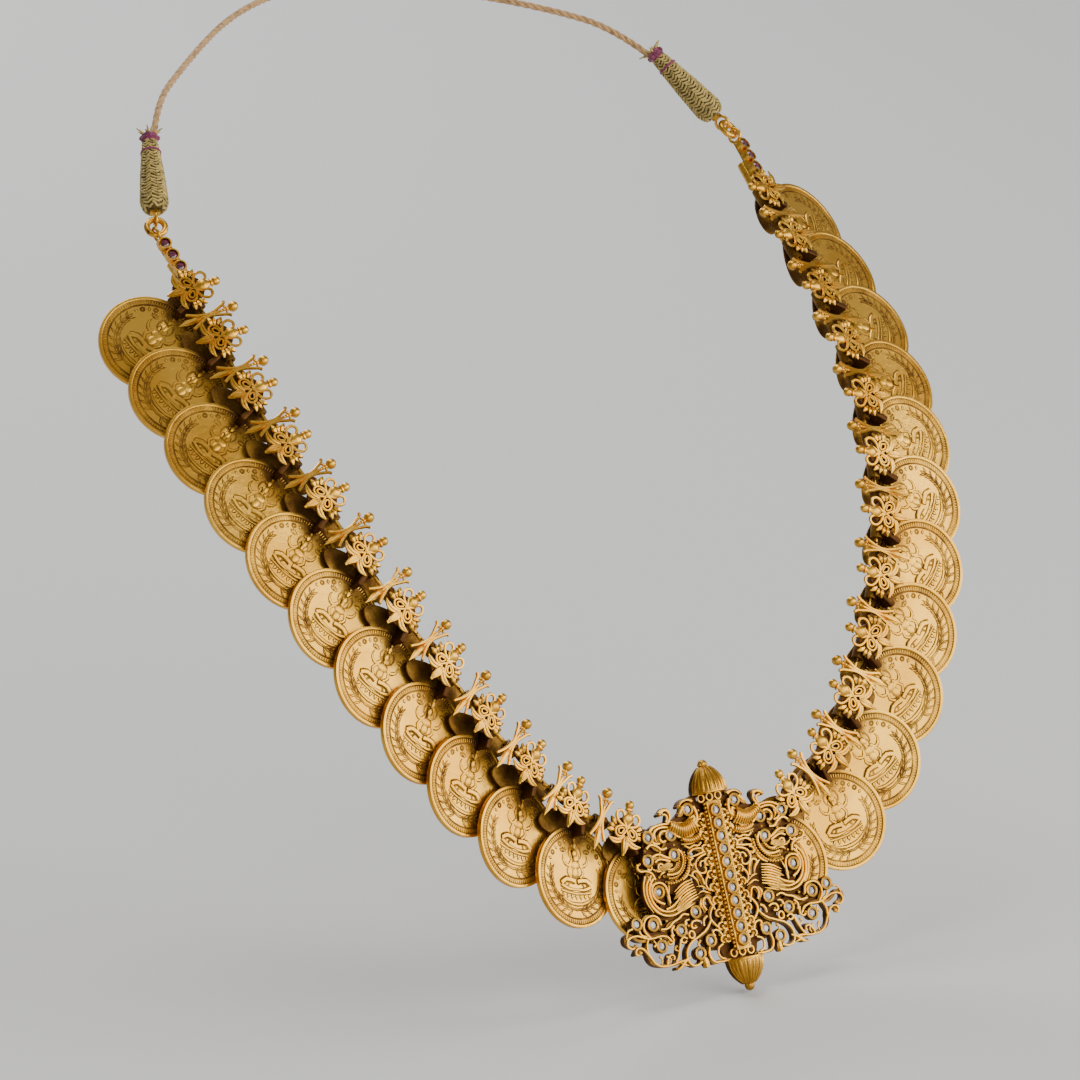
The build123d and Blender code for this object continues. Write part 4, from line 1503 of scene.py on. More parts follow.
@dataclass
class Pendant:
    """Centre pendant: raised wires, grains and feathers over the pierced CAD plate.

    Places are millimetres out and down from the first stone of the middle column.
    """

    dresser: Dresser
    middle: Triple = (0.0, -134.5, -140.8)
    slope: float = 20.2
    wire_level: float = -1.42
    side_face: float = -1.34
    over: float = 0.36
    dome_radius: float = 3.6
    dome_ribs: int = 26
    dome_feet: Pair = (3.7, -29.5)
    knob_ring: float = 0.72
    knob_beads: int = 9
    end_rings: Pair = (2.75, -28.1)
    end_ring: Pair = (0.72, 0.22)
    bezel_radius: float = 1.25
    rim_wire: float = 0.27
    rim_inset: float = 0.14
    foot_wire: float = 0.15
    foot_outset: float = 0.04
    foot_level: float = -0.5
    column_stones: int = 11
    column_pitch: float = 2.58
    beads: int = 37
    bead_pitch: float = 0.79

    @classmethod
    def normal(cls) -> Vector:
        """Direction that the pendant faces."""
        slope = math.radians(cls.slope)
        return Vector((0, -math.cos(slope), math.sin(slope)))

    def place(self) -> Matrix:
        """From millimetres on the pendant's face to metres."""
        normal, across = self.normal(), Vector((1, 0, 0))
        return place_of(Vector(self.middle) * MM, across, normal.cross(across), normal)

    @staticmethod
    def drawn(*places: Pair, radius: float = 0.26, taper: Taper = Taper.EVEN, level: float = 0.0,
              arch: float = 0.0, closed: bool = False) -> Stroke:
        """Stroke from places out and down.

        Args:
            *places: Out and down in millimetres.
            radius: Half of its width.
            taper: How the width changes.
            level: Height over the usual one.
            arch: How much higher its middle stands.
            closed: Whether its end joins its start.

        Returns:
            The stroke.
        """
        points = []
        for k, (out, down) in enumerate(places):
            rise = arch * math.sin(math.pi * k / max(1, len(places) - 1))
            points.append((out, -down, level + rise))
        return Stroke(tuple(points), radius, taper, closed)

    def edge_scrolls(self) -> list[Stroke]:
        """Open scrolls of the lower edge and the wing tip.

        Returns:
            The strokes of one half.
        """
        draw = self.drawn
        return [
            draw((16.2, 23.3), (17.3, 22.1), (21.3, 21.9), (25.2, 20.8), (26.8, 21.8), (26.0, 23.1),
                 (25.0, 22.7)),
            draw((13.4, 27.4), (15.2, 27.5), (18.0, 27.8), (20.7, 27.2), (22.3, 24.9), (23.8, 23.3),
                 (25.1, 23.6),
                 (25.0, 24.5), (24.2, 24.3)),
            draw((17.9, 19.7), (18.4, 18.2), (20.0, 17.6), (21.7, 18.4), (22.1, 20.2), (21.0, 21.8)),
            draw((5.9, 20.9), (7.3, 22.4), (9.4, 23.4), (12.0, 24.6), (13.3, 26.6), (12.8, 28.4),
                 (11.4, 28.9),
                 (10.0, 28.4)),
            draw((7.6, 25.9), (7.9, 27.6), (7.1, 28.9), (5.6, 29.2), (3.6, 29.2)),
            draw((4.2, 25.9), (5.5, 26.6), (5.5, 28.2), (4.3, 28.9)),
            draw((14.0, 23.3), (14.8, 25.2), (15.6, 26.8), (16.3, 27.6)),
            draw((18.4, 27.6), (18.0, 26.6), (17.2, 25.9), (16.4, 26.2), (16.6, 26.9), radius=0.24),
            draw((19.6, 27.3), (19.4, 26.2), (19.9, 25.7), radius=0.22, taper=Taper.KNOB),
            draw((17.6, 27.4), (17.3, 26.6), (18.3, 25.9), radius=0.22, taper=Taper.KNOB),
            draw((21.7, 21.9), (22.3, 23.2), (22.3, 24.7)),
            draw((15.1, 25.4), (15.8, 24.9), (15.5, 24.4), radius=0.22, taper=Taper.KNOB),
            draw((12.4, 23.4), (13.3, 23.0), (13.9, 23.6), (13.2, 24.1), (12.7, 23.8), radius=0.24),
            draw((12.6, 27.0), (14.0, 27.6), (15.2, 28.6), (16.2, 28.9), radius=0.4, taper=Taper.BUD),
            draw((13.2, 28.6), (14.2, 28.3), (15.3, 27.6), radius=0.32, taper=Taper.LEAF),
            draw((9.3, 27.8), (9.2, 28.7), (9.2, 29.7), radius=0.62, taper=Taper.KNOB),
            draw((9.9, 25.4), (10.1, 24.9), (9.6, 24.5), radius=0.24, taper=Taper.KNOB),
            draw((18.75, 22.1), (18.75, 22.6)),
            draw((16.0, 22.0), (15.8, 23.3), (16.8, 23.8), (17.2, 23.2), radius=0.24),
            draw((20.4, 22.4), (20.1, 23.2), (20.6, 23.6), radius=0.22, taper=Taper.KNOB),
            draw((23.4, 20.0), (23.0, 20.9), (21.9, 21.4), radius=0.26),
            draw((24.9, 19.3), (26.0, 19.6), (26.6, 20.6), (26.7, 21.6), radius=0.24, taper=Taper.HORN),
        ]

    def inner_scrolls(self) -> list[Stroke]:
        """Closer scrolls and leaf loops beside the column.

        Returns:
            The strokes of one half.
        """
        draw = self.drawn
        return [
            draw((4.1, 17.8), (5.3, 18.9), (5.9, 20.3), (5.3, 21.6), (4.6, 22.4)),
            draw((4.4, 19.0), (5.0, 17.6), (5.6, 16.4), (6.6, 16.6), (6.9, 17.7), (6.4, 18.8)),
            draw((7.0, 16.3), (7.6, 17.4), (7.0, 18.8), radius=0.4, taper=Taper.LEAF),
            draw((3.9, 24.2), (4.9, 23.0), (6.0, 23.2), (5.7, 24.1), radius=0.26),
            draw((4.2, 7.3), (5.8, 6.6), (7.4, 7.0), (7.9, 7.8), (6.4, 7.9),
                 (5.2, 7.7), radius=0.26, closed=True),
            draw((3.8, 8.0), (5.4, 8.4), (6.6, 9.3), (6.7, 10.6), (5.8, 11.5), (4.6, 11.3), (4.6, 10.3)),
            draw((4.4, 9.2), (5.4, 9.4), (5.7, 10.2), radius=0.24, taper=Taper.KNOB),
            draw((7.0, 8.3), (7.9, 8.8), (7.6, 9.7), (6.9, 9.4), radius=0.26),
            draw((5.6, 13.8), (6.1, 11.9), (7.2, 10.9), (8.0, 11.4), (7.6, 12.3), radius=0.28),
            draw((6.9, 14.2), (7.2, 12.7), (8.3, 11.6), (9.0, 11.3), radius=0.34, taper=Taper.LEAF),
            draw((4.2, 12.2), (5.0, 13.0), (5.2, 14.3), (4.5, 15.2), radius=0.26),
            draw((4.5, 15.8), (5.4, 15.4), (6.5, 15.0), (7.6, 15.4), radius=0.3, taper=Taper.LEAF),
            draw((5.2, 14.9), (6.2, 14.1), (7.6, 13.9), radius=0.26, taper=Taper.LEAF),
            draw((4.3, 5.6), (5.1, 6.1), (6.2, 5.9), (7.4, 6.2), (8.3, 5.6), radius=0.25),
            draw((8.6, 20.6), (9.6, 20.3), (10.6, 20.7), (10.6, 21.6), (9.6, 21.6), radius=0.26),
            draw((6.6, 19.9), (7.6, 20.6), (7.8, 21.7), radius=0.26),
            draw((10.9, 18.9), (12.2, 18.6), (13.3, 19.2), (14.9, 19.7), (16.3, 20.6), (18.2, 20.6)),
            draw((11.0, 19.8), (11.9, 20.0), (12.2, 20.8), radius=0.26, taper=Taper.KNOB),
            draw((14.9, 20.4), (15.7, 21.3), (15.5, 22.4), radius=0.26),
            draw((11.1, 22.1), (11.8, 22.9), (11.3, 23.5), (10.5, 23.1), radius=0.24, closed=True),
            draw((8.6, 16.9), (10.4, 17.4), (12.0, 18.0), radius=0.24, taper=Taper.LEAF),
        ]

    def small_bird(self) -> list[Stroke]:
        """Upper bird: crest, beak, neck, ribbed body, wing and tail.

        Returns:
            The strokes of one half.
        """
        draw = self.drawn
        strokes = [
            draw((4.4, -2.6), (5.2, -3.0), (6.6, -2.9), (7.7, -2.1), radius=0.34, taper=Taper.HORN),
            draw((6.9, -1.9), (7.8, -0.9), (8.4, -0.2), radius=0.5, taper=Taper.HORN),
            draw((4.4, -1.6), (4.0, -0.2), (4.2, 1.1), (5.1, 2.0), radius=0.4),
            draw((4.9, 0.1), (4.7, 0.9), (5.4, 1.4), radius=0.34),
            draw((5.0, 0.3), (6.4, 0.9), (8.2, 1.3), (10.0, 0.9), (10.9, 0.3), radius=0.28),
            draw((4.6, 2.4), (5.9, 3.7), (8.0, 4.1), (10.2, 3.0), (11.2, 1.4), radius=0.28),
            draw((3.9, 3.3), (4.6, 4.7), (6.4, 5.4), (9.0, 5.2), radius=0.28, taper=Taper.HORN),
            draw((3.6, 2.9), (4.0, 4.1), (5.2, 5.0), radius=0.24),
            draw((11.2, 0.6), (10.4, -0.6), (10.6, -1.6), (11.7, -2.0),
                 (12.8, -1.4), radius=0.34, taper=Taper.KNOB),
            draw((11.6, 0.4), (11.1, -0.5), (11.4, -1.1), (12.1, -1.2), radius=0.24),
            draw((10.6, 0.9), (12.8, 0.6), (14.8, 0.9), (16.0, 1.6)),
            draw((11.4, 1.4), (13.2, 1.2), (14.6, 1.6), (15.4, 2.6), radius=0.28),
            draw((12.1, 2.0), (13.3, 2.1), (13.9, 3.0), (13.4, 4.0), (12.6, 3.9), radius=0.28),
            draw((14.7, 2.1), (15.0, 3.0), (14.6, 3.9), radius=0.26, taper=Taper.LEAF),
            draw((12.8, 5.3), (14.0, 5.4), (15.2, 4.5), (16.6, 4.1), (17.6, 4.7), radius=0.3),
            draw((14.2, 4.2), (15.2, 4.0), (15.9, 3.4), radius=0.26),
        ]
        level = self.over - 0.1
        for rib in range(13):
            share = rib / 12
            out, down = 5.1 + 5.6 * share, 1.75 + math.sin(math.pi * share) - 0.55 * share
            half = 1.5 - 0.8 * share * share
            side = half * (0.55 - 1.25 * share)
            strokes.append(draw((out + side, down - half), (out + 0.22, down), (out - side, down + half),
                                radius=0.21, level=level, arch=0.55))
        for rib in range(9):
            out, down = 4.5 + 0.5 * rib, 4.35 + 0.45 * math.sin(math.pi * rib / 8)
            strokes.append(draw((out + 0.3, down - 0.55), (out + 0.05, down), (out - 0.3, down + 0.5),
                                radius=0.2, level=level, arch=0.25))
        return strokes

    def peacock(self) -> list[Stroke]:
        """Lower bird: crest, collars, swirls, striped wing and round tail.

        Returns:
            The strokes of one half.
        """
        draw = self.drawn
        strokes = [
            draw((12.4, 7.4), (13.4, 7.0), (15.0, 6.2), (16.8, 6.5), radius=0.3),
            draw((12.6, 8.0), (13.8, 7.5), (15.2, 7.2), (16.2, 7.6), radius=0.26),
            draw((10.2, 6.0), (9.4, 7.0), (9.5, 8.6), (10.6, 10.1), (12.2, 10.6), (14.0, 10.4), radius=0.3),
            draw((8.3, 7.6), (8.3, 9.4), (9.2, 11.2), (10.6, 12.0), radius=0.3),
            draw((10.9, 8.5), (11.6, 9.3), (12.8, 9.6), (13.9, 9.2), radius=0.26),
            draw((12.3, 8.9), (13.0, 8.3), (13.8, 8.6), (13.6, 9.2), (13.0, 9.1), radius=0.24),
            draw((14.4, 8.4), (15.2, 8.1), (15.7, 8.8), (15.1, 9.3), (14.6, 8.9), radius=0.24),
            draw((14.0, 9.8), (15.0, 9.9), (15.8, 10.6), radius=0.34, taper=Taper.LEAF),
            draw((14.9, 9.6), (16.3, 9.3), (17.2, 8.6), radius=0.3, taper=Taper.LEAF),
            draw((17.0, 10.9), (17.5, 9.6), (18.8, 8.9), (20.3, 8.6), (20.6, 7.6), (19.9, 7.4), radius=0.28),
            draw((17.1, 8.3), (17.6, 8.8), (18.4, 8.6), radius=0.26, taper=Taper.KNOB),
            draw((14.7, 16.0), (14.7, 14.0), (15.2, 12.2), (16.6, 11.6), (18.1, 12.2), (18.3, 13.9),
                 (17.3, 15.2), (16.0, 15.9), radius=0.3),
            draw((13.9, 12.0), (14.3, 13.4), (14.9, 14.8), (14.7, 16.6), radius=0.26, taper=Taper.LEAF),
            draw((17.8, 9.9), (19.3, 11.6), (19.6, 14.2), (18.3, 16.9), (15.6, 18.3), (12.6, 17.9),
                 (10.7, 16.8)),
            draw((17.4, 10.6), (18.7, 12.0), (18.9, 14.1), (17.8, 16.3), (15.4, 17.5), (13.0, 17.1),
                 (11.3, 16.0)),
            draw((15.9, 17.0), (14.2, 16.6), (12.6, 15.7), (11.7, 14.9), radius=0.28),
            draw((19.3, 9.8), (20.2, 12.0), (20.1, 14.9), (19.0, 17.1), radius=0.24, taper=Taper.HORN),
            draw((18.2, 12.1), (18.2, 10.6), (18.6, 9.9), radius=0.24, taper=Taper.HORN),
        ]
        for stripe in range(8):
            share = stripe / 7
            start = (8.7 - 0.1 * stripe, 12.3 + 3.6 * share)
            bend = (10.8 - 0.9 * share, 12.7 + 3.7 * share)
            tip = (13.3 - 1.4 * share, 14.0 + 3.2 * share)
            strokes.append(draw(start, bend, tip, radius=0.25, taper=Taper.BUD, level=self.over))
        return strokes

    def column_scrolls(self) -> list[Stroke]:
        """Pairs of curls beside the column, and the small rings at its ends.

        Returns:
            The strokes of one half.
        """
        strokes = []
        for step in range(self.column_stones - 1):
            mid = (step + 0.5) * self.column_pitch
            strokes.append(self.drawn(
                (3.35, mid - 0.75), (2.6, mid - 1.15), (1.9, mid - 0.7), (2.1, mid - 0.05),
                (2.9, mid + 0.05), (2.2, mid + 0.35), (2.15, mid + 0.95), (3.0, mid + 1.15),
                (3.4, mid + 0.7), radius=0.25))
            strokes.append(self.drawn(
                (3.2, mid - 0.2), (4.1, mid - 0.05), (4.4, mid + 0.7), (3.9, mid + 1.2), radius=0.22))
        return strokes + [ring_stroke(2.1, up, *self.end_ring) for up in self.end_rings]

    def domes(self) -> list[Stroke]:
        """Ribs of the two domes, and the ring round each foot.

        Returns:
            The strokes of both domes.
        """
        strokes = []
        behind = self.side_face
        profile = ((self.dome_radius, 0.1), (3.42, 1.7), (2.66, 3.22), (1.75, 4.4), (0.8, 5.1))
        for foot, sign in zip(self.dome_feet, (1, -1)):
            for c, s in circle(1, self.dome_ribs):
                points = tuple(
                    (radius * c, foot + sign * height, behind + radius * s - self.wire_level)
                    for radius, height in profile)
                strokes.append(Stroke(points, 0.22, Taper.HORN))
            ring = tuple((x, foot, behind + z - self.wire_level) for x, z in circle(self.dome_radius, 10))
            strokes.append(Stroke(ring, 0.26, closed=True))
        return strokes

    def column(self) -> list[Stroke]:
        """Plain wire down one side of the middle column.

        Returns:
            The stroke of one half.
        """
        last = (self.column_stones - 1) * self.column_pitch
        places = ((1.55, -1.6), (1.62, last / 2), (1.55, last + 1.6))
        return [self.drawn(*places, radius=0.2, level=-0.5 - self.wire_level)]

    def half_grains(self) -> list[Grain]:
        """Round grains of one half: beaded collars, ends of curls and beads beside the column.

        Returns:
            Middle and radius of each grain.
        """
        level = self.wire_level
        half: list[Grain] = []
        collars = (
            (12.9, 7.4, 3.9, 172, 282, 0.30), (12.9, 7.4, 4.85, 178, 285, 0.33),
            (13.1, 7.2, 2.75, 185, 280, 0.24))
        for out, down, radius, first, last, size in collars:
            steps = int(math.radians(last - first) * radius / (1.75 * size))
            for step in range(steps + 1):
                a = math.radians(first + (last - first) * step / steps)
                half.append((out + radius * math.cos(a), -down + radius * math.sin(a), level + 0.25, size))
        ends = [
            (25.0, 22.7, 0.42), (24.3, 24.2, 0.5), (3.4, -0.6, 0.3), (12.7, -1.4, 0.4), (8.4, 5.6, 0.3),
            (13.2, 9.0, 0.3), (15.2, 8.7, 0.3), (16.0, 10.6, 0.3), (6.0, 8.9, 0.28), (7.3, 9.5, 0.28),
            (9.6, 24.4, 0.32), (15.4, 24.4, 0.3), (17.2, 23.3, 0.3), (11.5, 21.0, 0.3), (9.9, 21.3, 0.26),
            (14.6, 5.9, 0.28), (10.9, 5.0, 0.26), (5.9, 12.4, 0.26), (4.5, 10.2, 0.3), (16.3, 9.2, 0.3),
            (15.0, 21.2, 0.28), (16.5, 19.2, 0.3), (12.2, 11.9, 0.3), (20.0, 7.3, 0.3), (13.9, 3.1, 0.26),
        ]
        half += [(out, -down, level + 0.1, size) for out, down, size in ends]
        for step in range(self.column_stones - 1):
            height = -(step + 0.5) * self.column_pitch
            half.append((3.35, height + 0.62, level + 0.08, 0.34))
            half.append((3.4, height - 0.6, level + 0.08, 0.34))
            half.append((1.1, height, -0.4, 0.3))
        half += [(1.86, 1.55 - self.bead_pitch * step, -0.92, 0.38) for step in range(self.beads)]
        return half

    def grains(self) -> list[Grain]:
        """Grains of both halves and of the knobs on the domes.

        Returns:
            Middle and radius of each grain.
        """
        half = self.half_grains()
        every = half + [(-x, y, z, r) for x, y, z, r in half]
        for x, z in circle(self.knob_ring, self.knob_beads):
            every.append((x, 9.15, self.side_face + z, 0.36))
            every.append((x, -34.75, self.side_face + z, 0.30))
        return every + [(0, 9.5, self.side_face, 0.6)]

    def settings(self) -> bpy.types.Object:
        """Rolled rims round every stone.

        Returns:
            The rims as one mesh.
        """
        places = [(0.0, -step * self.column_pitch, 0.0) for step in range(self.column_stones)]
        for out, down in SIDE_STONES:
            places += [(-out, -down, self.side_face), (out, -down, self.side_face)]
        torus = bpy.ops.mesh.primitive_torus_add
        rim = Bench.primitive(
            "rim_model", torus, major_radius=self.bezel_radius - self.rim_inset,
            minor_radius=self.rim_wire, major_segments=20, minor_segments=8)
        foot = Bench.primitive(
            "foot_model", torus, major_radius=self.bezel_radius + self.foot_outset,
            minor_radius=self.foot_wire, major_segments=20, minor_segments=6,
            location=(0, 0, self.foot_level))
        model = Bench.join("setting_model", rim, foot)
        return Bench.stamp("settings", model, [Matrix.Translation(place) for place in places])

    def build(self, nodes: dict[str, bpy.types.Object]) -> int:
        """Dress the pendant.

        Args:
            nodes: The CAD nodes.

        Returns:
            Number of pieces made.
        """
        half = self.edge_scrolls() + self.inner_scrolls() + self.small_bird() + self.peacock()
        half += self.column_scrolls()
        middle = [ring_stroke(0, up, *self.end_ring) for up in self.end_rings]
        strokes = both_sides(half + self.column()) + middle + self.domes()
        wires = Bench.wires("pendant_wires", strokes, steps=4, level=self.wire_level)
        grains = Bench.balls("pendant_grains", self.grains(), 2)
        piece = Bench.join("pendant_scrollwork", wires, grains, self.settings())
        Bench.wear(piece, self.wire_level - 0.26, self.wire_level + 0.16)
        piece.data.transform(self.place())
        self.dresser.dress(piece, self.dresser.gold)
        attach(piece, "root")
        # The pendant's plate gets painted shade between its wires
        self.dresser.dress(nodes["pendant_frame"], self.dresser.pendant_painted_shade)
        self.dresser.dress(nodes["pendant_stones"], self.dresser.clear)
        return 1


@dataclass
class Clasp:
    """Thread wound sleeve, its magenta ties and the tufts at its top."""

    dresser: Dresser
    side: Side
    shank: float = 3.0
    length: float = 16.7
    shares: tuple[float, ...] = (0.0, 0.04, 0.12, 0.5, 0.8, 0.97, 1.0)
    radii: tuple[float, ...] = (1.5, 2.2, 2.6, 2.2, 1.7, 1.35, 1.0)
    rows: int = 24
    columns: int = 14
    thread: float = 0.25
    thread_lift: float = 0.08
    tie_share: float = 0.82
    tie_step: float = 0.012
    tie_thread: float = 0.14
    tie_lift: float = 0.3
    knot_thread: float = 0.38
    bow_thread: float = 0.32
    tuft_ends: int = 14

    def place(self) -> Matrix:
        """Find the sleeve.

        Returns:
            From millimetres, with +Y up the sleeve from its foot, to metres.
        """
        flip = Vector((-self.side.value, 1, 1))
        start, bend = (Vector(point) * flip for point in CORD_ROUTE[:2])
        along = (bend - start).normalized()
        across = along.cross(Vector((0, 0, 1))).normalized()
        return place_of((start - along * self.shank) * MM, across, along, across.cross(along))

    def radius_at(self, share: float) -> float:
        """Radius of the winding at a share of the sleeve's length."""
        return float(np.interp(share, self.shares, self.radii))

    def hoop(self, height: float, radius: float, thread: float) -> Stroke:
        """Closed turn of thread at a height of the sleeve."""
        return Stroke(tuple((x, height, z) for x, z in circle(radius, 8)), thread, closed=True)

    def winding(self) -> list[Stroke]:
        """Slanted stitches in columns that lean to either side in turn.

        Returns:
            The stitches.
        """
        stitches = []
        step = math.tau / self.columns
        for row in range(self.rows):
            for column in range(self.columns):
                low = (row + 0.15) / self.rows
                uneven = 0.85 + 0.3 * math.sin(1.9 * row + 2.6 * column)
                high = low + 0.95 / self.rows * uneven
                start, end = (low, high) if column % 2 else (high, low)
                points = []
                for part in (0.0, 0.5, 1.0):
                    share = min(1.0, start + (end - start) * part)
                    radius, turn = self.radius_at(share) + self.thread_lift, step * (column + part)
                    points.append((radius * math.cos(turn), share * self.length, radius * math.sin(turn)))
                stitches.append(Stroke(tuple(points), self.thread - 0.06 * row / self.rows))
        return stitches

    def ties(self) -> list[Stroke]:
        """Magenta turns round the sleeve, and the knot with its bows on top.

        Returns:
            The strokes.
        """
        strokes = []
        for share in (self.tie_share, self.tie_share + self.tie_step):
            radius = self.radius_at(share) + self.tie_lift
            strokes.append(self.hoop(share * self.length, radius, self.tie_thread))
        top = self.length + 0.3
        for lift, size in ((-0.35, 1.2), (0.15, 1.4), (0.65, 1.3), (1.05, 0.95)):
            strokes.append(self.hoop(top + lift, size, self.knot_thread))
        bow = ((0.8, 0.3), (1.5, 0.75), (1.75, 0.2), (1.0, -0.1))
        for x, z in ((0, -1), (-1, 0), (0, 1), (1, 0)):
            points = tuple((reach * x, top + lift, reach * z) for reach, lift in bow)
            strokes.append(Stroke(points, self.bow_thread))
        return strokes

    def tufts(self) -> list[Stroke]:
        """Pale thread ends that fan out over the knot.

        Returns:
            The strokes.
        """
        strokes = []
        top = self.length + 0.9
        for k, (c, s) in enumerate(circle(1, self.tuft_ends)):
            reach = 2.2 + 0.9 * math.sin(5 * math.tau * k / self.tuft_ends)
            points = tuple(
                (share * reach * c, top + lift, share * reach * s)
                for share, lift in ((0.3, 0.1), (0.65, 0.9), (1.0, 1.3)))
            strokes.append(Stroke(points, 0.3, Taper.HORN))
        return strokes

    def build(self, nodes: dict[str, bpy.types.Object]) -> int:
        """Dress one sleeve and its tie.

        Args:
            nodes: The CAD nodes.

        Returns:
            Number of pieces made.
        """
        label = self.side.label
        rings = (0.0, 0.04, 0.12, 0.3, 0.5, 0.65, 0.8, 0.97, 1.0)
        profile = [(self.radius_at(share) - 0.05, share * self.length) for share in rings]
        core = Bench.paint(Bench.lathe("sleeve_core", profile, 28), 0.0)
        winding = Bench.paint(Bench.wires("winding", self.winding(), steps=2), 1.0)
        sleeve = Bench.join(f"wound_sleeve_{label}", core, winding)
        ties = Bench.join(f"magenta_tie_{label}", Bench.wires("ties", self.ties()))
        tufts = Bench.join(f"thread_ends_{label}", Bench.wires("tufts", self.tufts()))
        for loose in (ties, tufts):
            Bench.paint(loose, 1.0)
        for piece, material, slot in (
                (sleeve, self.dresser.zari, "zari_thread"), (ties, self.dresser.silk, "tie_thread"),
                (tufts, self.dresser.zari, "zari_thread")):
            piece.data.transform(self.place())
            self.dresser.dress(piece, material)
            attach(piece, "root")
        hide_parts(f"sleeve_{label}")
        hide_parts(f"tie_thread_{label}")
        for node in (f"end_link_{label}", f"band_ring_{label}", f"hook_{label}"):
            self.dresser.dress(nodes[node], self.dresser.plain_gold)
        self.dresser.dress(nodes[f"carrying_wire_{label}"], self.dresser.dark_gold)
        return 3


@dataclass
class BackCord:
    """Three strand cord behind the neck, from sleeve to sleeve."""

    dresser: Dresser
    diameter: float = 1.4
    strands: int = 3
    lay_length: float = 5.5
    offset_share: float = 0.235
    strand_share: float = 0.265

    def route(self) -> list[Vector]:
        """Read points from the route's own smooth spline.

        Returns:
            The points in millimetres, from sleeve to sleeve.
        """
        points = CORD_ROUTE + [(-x, y, z) for x, y, z in reversed(CORD_ROUTE[:-1])]
        data = bpy.data.curves.new("cord_route", "CURVE")
        data.dimensions = "3D"
        data.resolution_u = 24
        spline = data.splines.new("NURBS")
        spline.points.add(len(points) - 1)
        for knot, place in zip(spline.points, points):
            knot.co = (*place, 1.0)
        spline.order_u = 3
        spline.use_endpoint_u = True
        holder = Bench.linked("cord_route", data)
        bpy.context.view_layer.update()
        mesh = bpy.data.meshes.new_from_object(holder)
        line = [v.co.copy() for v in mesh.vertices]
        bpy.data.objects.remove(holder)
        bpy.data.meshes.remove(mesh)
        return line

    def build(self) -> int:
        """Dress the back cord.

        Returns:
            Number of pieces made.
        """
        line = self.route()
        run = [0.0]
        for before, here in zip(line, line[1:]):
            run.append(run[-1] + (here - before).length)
        upward = Vector((0, 0, 1))
        offset = self.diameter * self.offset_share
        strands: list[list[tuple[float, ...]]] = [[] for _ in range(self.strands)]
        for k, place in enumerate(line):
            ahead, behind = line[min(k + 1, len(line) - 1)], line[max(k - 1, 0)]
            along = (ahead - behind).normalized()
            across = (upward - along * upward.dot(along)).normalized()
            over = along.cross(across)
            for number, strand in enumerate(strands):
                turn = math.tau * (run[k] / self.lay_length + number / self.strands)
                strand.append(tuple(place + (across * math.cos(turn) + over * math.sin(turn)) * offset))
        strokes = [Stroke(tuple(strand), self.diameter * self.strand_share) for strand in strands]
        wires = Bench.wires("cord_strands", strokes, steps=2, roundness=2)
        piece = Bench.paint(Bench.join("back_cord_strands", wires), 1.0)
        piece.data.transform(Matrix.Scale(MM, 4))
        self.dresser.dress(piece, self.dresser.cotton)
        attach(piece, "root")
        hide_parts("back_cord")
        return 1


@dataclass(frozen=True)
class Lamp:
    """Soft square light that looks at the necklace.

    Args:
        name: Its name.
        place: Where it stands, in metres from the necklace's middle.
        size: Side of the square in metres.
        power: Watts.
        colour: Its tint.
    """

    name: str
    place: Triple
    size: float
    power: float
    colour: Triple = (1, 1, 1)

    def build(self, middle: Vector) -> None:
        """Add the light.

        Args:
            middle: The necklace's middle in metres.
        """
        data = bpy.data.lights.new(self.name, "AREA")
        data.energy = self.power
        data.size = self.size
        data.color = self.colour
        made = Bench.linked(self.name, data)
        made.location = middle + Vector(self.place)
        made.rotation_mode = "QUATERNION"
        made.rotation_quaternion = Vector(self.place).to_track_quat("Z", "Y")


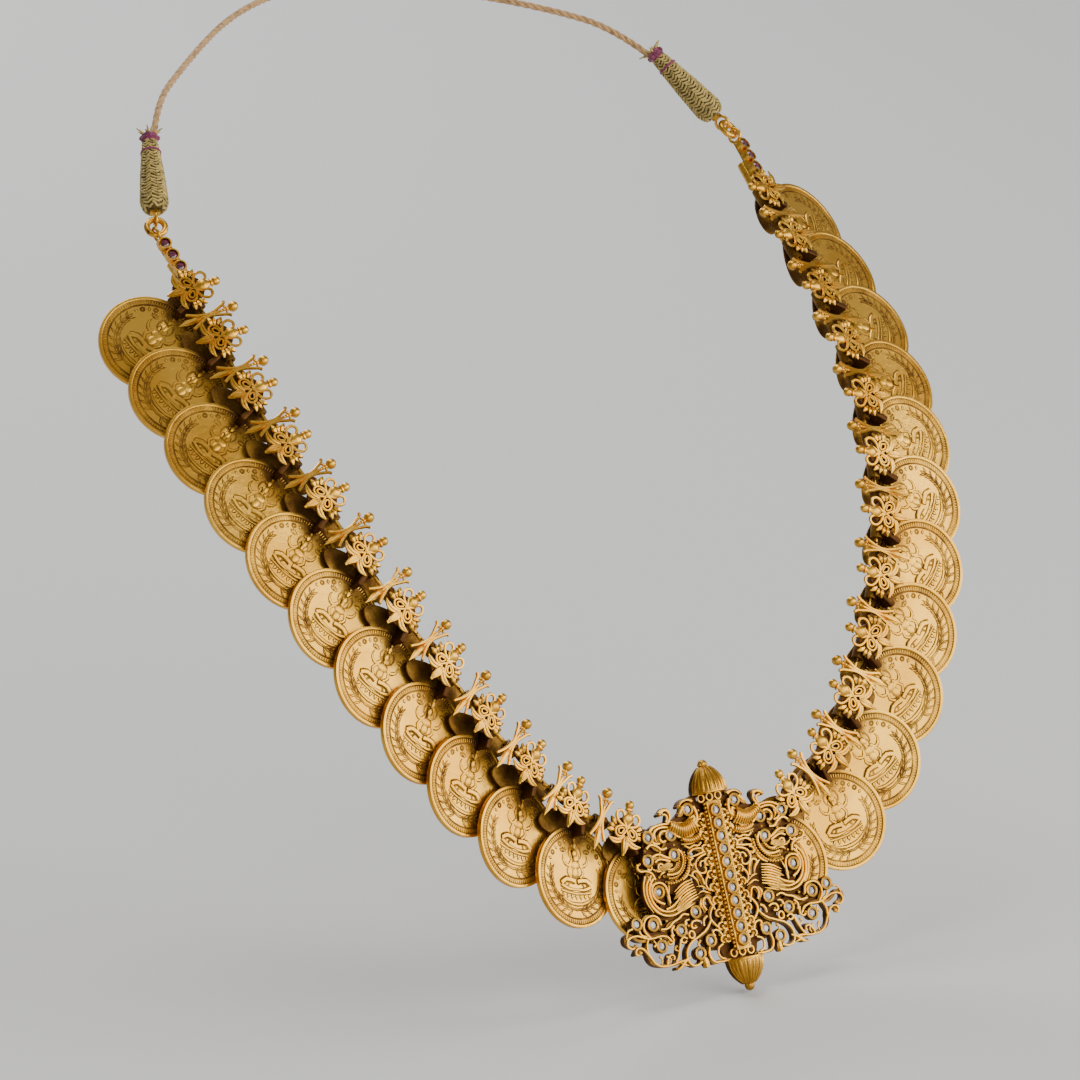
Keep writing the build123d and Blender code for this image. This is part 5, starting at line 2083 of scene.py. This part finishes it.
@dataclass(frozen=True)
class Studio:
    """Camera at the photograph's place, pale floor and soft lights."""

    azimuth: float = -37.5
    elevation: float = 14.7
    distance: float = 2.340
    right: float = -0.0347
    up: float = 0.0636
    focal_pixels: float = 11965.0
    frame_pixels: float = 1080.0
    sensor: float = 36.0
    target: Triple = (0.0, -0.135, -0.152)
    middle: Triple = (0.0, -0.075, -0.09)
    floor_size: float = 12.0
    floor_tones: tuple[Colour, Colour] = ((0.62, 0.62, 0.61, 1), (0.68, 0.68, 0.67, 1))
    sky: Colour = (0.82, 0.84, 0.88, 1)
    sky_strength: float = 0.34
    lamps: tuple[Lamp, ...] = (
        Lamp("key", (0.35, -1.1, 0.5), 1.0, 11.5, (1, 0.96, 0.9)),
        Lamp("front", (-0.6, -1.15, 0.3), 0.8, 4.2, (1, 0.95, 0.88)),
        Lamp("right", (1.1, -0.75, 0.3), 0.7, 8, (1, 0.96, 0.9)),
        Lamp("top", (0.0, 0.3, 1.2), 0.8, 8),
        Lamp("back_rim", (0.3, 1.1, 0.5), 0.6, 6),
    )

    def axes(self) -> tuple[Vector, Vector, Vector]:
        """Find how the camera is turned.

        Returns:
            Right, up and back of the camera.
        """
        a, e = math.radians(self.azimuth), math.radians(self.elevation)
        back = Vector((math.sin(a) * math.cos(e), -math.cos(a) * math.cos(e), math.sin(e)))
        right = Vector((math.cos(a), math.sin(a), 0))
        return right, back.cross(right), back

    def camera(self) -> None:
        """Place the camera."""
        right, up, back = self.axes()
        data = bpy.data.cameras.new("camera")
        data.sensor_width = self.sensor
        data.lens = self.focal_pixels / self.frame_pixels * self.sensor
        data.clip_end = 50
        made = Bench.linked("camera", data)
        place = Vector(self.target) + right * self.right + up * self.up + back * self.distance
        made.matrix_world = place_of(place, right, up, back, 1.0)
        bpy.context.scene.camera = made

    def build(self, floor_level: float) -> None:
        """Set the stage.

        Args:
            floor_level: Height of the floor in metres.
        """
        self.camera()
        for lamp in self.lamps:
            lamp.build(Vector(self.middle))
        world = bpy.data.worlds.new("studio")
        world.use_nodes = True
        world.node_tree.nodes["Background"].inputs["Color"].default_value = self.sky
        world.node_tree.nodes["Background"].inputs["Strength"].default_value = self.sky_strength
        bpy.context.scene.world = world
        floor = Bench.primitive("floor", bpy.ops.mesh.primitive_plane_add, size=self.floor_size)
        floor.data.transform(Matrix.Translation((0, 0, floor_level)))
        shader = Shader("pale_floor")
        shader.set(Base_Color=shader.blend(shader.noise(0.9, 1.0), *self.floor_tones), Roughness=0.85)
        Dresser.dress(floor, shader.material)
        floor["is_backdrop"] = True


def main() -> None:
    """Build the dressed necklace and its studio."""
    logging.basicConfig(level=logging.INFO, format="%(message)s")
    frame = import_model()
    nodes = frame["nodes"]
    low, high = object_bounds()
    Studio().build(low.z - 0.5 * MM)
    log.info("studio: camera, lights and floor")
    dresser = Dresser()
    links = CoinLinks(dresser, nodes)
    frames = links.build()
    log.info("coin links: %d pieces", sum(len(half) for half in frames.values()))
    log.info("spacers: %d pieces", Spacers(dresser, nodes).build(links, frames))
    log.info("pendant: %d piece", Pendant(dresser).build(nodes))
    for side in Side:
        log.info("%s clasp: %d pieces", side.label, Clasp(dresser, side).build(nodes))
    dresser.dress(nodes["red_stones"], dresser.red)
    log.info("back cord: %d piece", BackCord(dresser).build())


if __name__ == "__main__":
    main()
